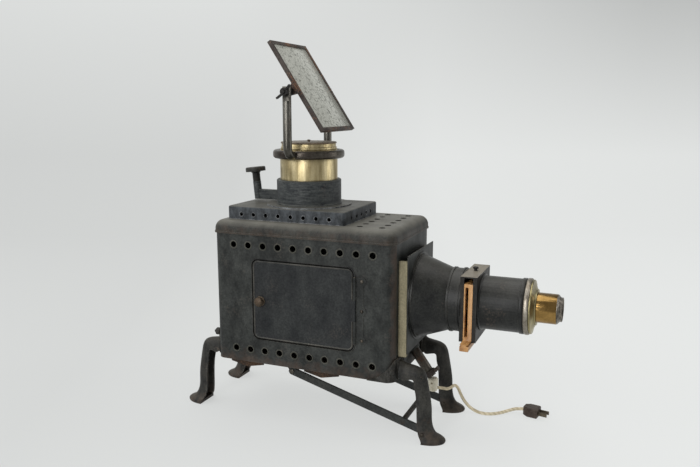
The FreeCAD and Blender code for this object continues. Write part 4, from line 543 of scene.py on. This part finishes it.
dressing = {
    "side_wall_near": (japanSide, 0.0), "side_wall_far": (japanSide, 0.0), "front_wall": (japan, 0.0),
    "rear_wall": (japan, 0.0), "bottom_plate": (copySteel, 0.0), "lid": (japanLid, 0.0),
    "vent_box": (japanBox, 0.0), "door": (japanDoor, 0.0), "door_stop": (japan, 0.2),
    "hinge_leaf": (japan, 0.3), "hinge_pin": (darkSteel, 0.2), "hinge_rivets": (darkSteel, 0.0),
    "door_knob": (bronze, 0.4), "latch_tongue": (darkSteel, 0.3), "leg_front_near": (castIron, 0.8),
    "leg_front_far": (castIron, 0.8), "leg_rear_near": (castIron, 0.8), "leg_rear_far": (castIron, 0.8),
    "leg_bolts": (castIron, 0.4), "front_plate": (japan, 0.0), "front_rails": (millboard, 0.8),
    "condenser_cell": (darkSteel, 0.3), "condenser_lenses": (lensGlass, 0.0),
    "condenser_cone": (japanTube, 0.0), "slide_stage": (stageSteel, 0.0),
    "stage_screw": (blackScrew, 0.2), "slide_carrier": (beech, 0.5), "front_tube": (japanTube, 0.4),
    "tube_rim": (nickel, 0.3), "lens_flange": (flangeBrass, 0.4), "front_lens_barrel": (goldBrass, 0.4),
    "lens_tip_ring": (tipSteel, 0.3), "front_lens_glasses": (lensGlass, 0.0),
    "lens_collar": (castCollar, 0.0), "adjusting_knob": (castIron, 0.4),
    "top_lens_barrel": (agedBrass, 0.3), "top_lens_cell": (agedBrass, 0.3),
    "top_lens_glasses": (lensGlass, 0.0), "lens_cap": (capPaint, 0.3), "yoke_ring": (darkSteel, 0.0),
    "yoke_posts": (postSteel, 0.4), "pivot_screws": (blackScrew, 0.3), "wing_nut_near": (blackScrew, 0.5),
    "wing_nut_far": (blackScrew, 0.5), "mirror_frame": (rustySteel, 0.4),
    "mirror_glass": (mirrorFace, 0.2), "copy_bars": (blackBar, 0.0), "copy_cross_bar": (castIron, 0.3),
    "copy_pivot_pins": (darkSteel, 0.3), "copy_plate": (copySteel, 0.0), "plate_pins": (darkSteel, 0.3),
    "lamp_sleeve": (japan, 0.4), "lamp_tube": (darkSteel, 0.3), "lamp_clamp": (rustySteel, 0.4),
    "lamp_connector": (porcelain, 0.5), "lamp_holder": (goldBrass, 0.3), "lamp_bulb": (lensGlass, 0.0),
    "plug_body": (bakelite, 0.4), "plug_prongs": (plugMetal, 0.2),
}


def dressNodes():
    for name, (finish, rounding) in dressing.items():
        node = nodes[name]
        node.data.materials.clear()
        node.data.materials.append(finish)
        node.data.shade_smooth()
        weld = node.modifiers.new("weld", "WELD")
        weld.merge_threshold = 0.01 * mm
        if rounding:
            bevel = node.modifiers.new("edge", "BEVEL")
            bevel.width = rounding * mm
            bevel.segments = 2
            bevel.limit_method = "ANGLE"
            bevel.angle_limit = math.radians(38)
            bevel.harden_normals = True
        else:
            split = node.modifiers.new("edge", "EDGE_SPLIT")
            split.split_angle = math.radians(38)


dressNodes()
print("model pieces dressed")

# Raised rims that the punch left round the vent holes of both sides

vents = {
    "hole": 11.0, "rim": 1.2, "flat": 0.7,
    "pitch": 28.5, "count": 10, "aside": 2.0, "rows": (23.0, 209.0),   # rows above the wall's lower edge
}


def pressRims(name, wall, side):
    low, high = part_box(wall)
    first = (low[0] + high[0]) / 2 + (vents["aside"] - vents["pitch"] * (vents["count"] - 1) / 2) * mm
    face = low[1] if side < 0 else high[1]
    mesh = bmesh.new()
    rim = vents["rim"] * mm
    bead = bmesh.ops.create_circle(mesh, radius=rim, segments=8)["verts"]
    bmesh.ops.translate(mesh, verts=bead, vec=(vents["hole"] / 2 * mm + rim * 0.8, 0, 0))
    bmesh.ops.spin(mesh, geom=mesh.verts[:] + mesh.edges[:], cent=(0, 0, 0), axis=(0, 1, 0),
                   angle=2 * math.pi, steps=28, use_merge=True)
    bmesh.ops.scale(mesh, verts=mesh.verts, vec=(1, vents["flat"], 1))
    pattern = mesh.verts[:] + mesh.edges[:] + mesh.faces[:]
    spots = [(first + vents["pitch"] * mm * step, face, low[2] + row * mm)
             for row in vents["rows"] for step in range(vents["count"])]
    for spot in spots[1:]:
        copied = bmesh.ops.duplicate(mesh, geom=pattern)["geom"]
        bmesh.ops.translate(mesh, verts=[v for v in copied if isinstance(v, bmesh.types.BMVert)], vec=spot)
    bmesh.ops.translate(mesh, verts=[v for v in pattern if isinstance(v, bmesh.types.BMVert)], vec=spots[0])
    bmesh.ops.recalc_face_normals(mesh, faces=mesh.faces)
    # rims in the lighter finish: partly wear, partly painted highlight
    newPiece(name, mesh, ventRim, "house")


pressRims("vent_rims_near", "side_wall_near", -1)
pressRims("vent_rims_far", "side_wall_far", 1)
print("vent rims pressed")

# Rolled bead round the door, partly lighter as a painted highlight, and a dead black ring outside it as
# painted shadow in the gap

doorRings = {
    "width": 189.4, "corner": 12.0, "steps": 8,
    "bead": {"inset": 2.1, "across": 2.4, "rise": 0.8},
    # flat dead black ring at the door's edge: painted shadow in the gap
    "seam": {"inset": 0.0, "across": 2.2, "rise": 0.1},
    "proud": 0.3,   # the door stands this far out of the wall
}


def ringOnDoor(name, ring, finish):
    low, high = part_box("door")
    wide = (doorRings["width"] - 2 * ring["inset"]) * mm
    tall = high[2] - low[2] - 2 * ring["inset"] * mm
    mesh = bmesh.new()
    bmesh.ops.create_grid(mesh, x_segments=1, y_segments=1, size=0.5)
    bmesh.ops.scale(mesh, verts=mesh.verts, vec=(wide, tall, 1))
    bmesh.ops.bevel(mesh, geom=mesh.verts[:], offset=(doorRings["corner"] - ring["inset"]) * mm,
                    offset_type="OFFSET", segments=doorRings["steps"], profile=0.5,
                    affect="VERTICES", material=-1)
    # outer slope, inner slope, and nothing over the panel itself
    panel = mesh.faces[:]
    bmesh.ops.inset_region(mesh, faces=panel, thickness=ring["across"] / 2 * mm, use_boundary=True)
    bmesh.ops.translate(mesh, verts=panel[0].verts, vec=(0, 0, ring["rise"] * mm))
    bmesh.ops.inset_region(mesh, faces=panel, thickness=ring["across"] / 2 * mm, use_boundary=True)
    bmesh.ops.translate(mesh, verts=panel[0].verts, vec=(0, 0, -ring["rise"] * mm))
    bmesh.ops.delete(mesh, geom=panel, context="FACES")
    bmesh.ops.bridge_loops(mesh, edges=[edge for edge in mesh.edges if edge.is_boundary])
    bmesh.ops.rotate(mesh, verts=mesh.verts, matrix=Matrix.Rotation(math.pi / 2, 3, "X"))
    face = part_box("side_wall_near")[0][1] - doorRings["proud"] * mm
    middle = (low[0] + doorRings["width"] / 2 * mm, face, (low[2] + high[2]) / 2)
    bmesh.ops.translate(mesh, verts=mesh.verts, vec=middle)
    bmesh.ops.recalc_face_normals(mesh, faces=mesh.faces)
    newPiece(name, mesh, finish, "door", smooth=60)


# bead in the lighter rim finish: partly rubbed paint, partly painted highlight
ringOnDoor("door_bead", doorRings["bead"], doorRim)
# painted shadow in the gap round the door
ringOnDoor("door_seam", doorRings["seam"], paintedGapShadow)
print("door rings laid")
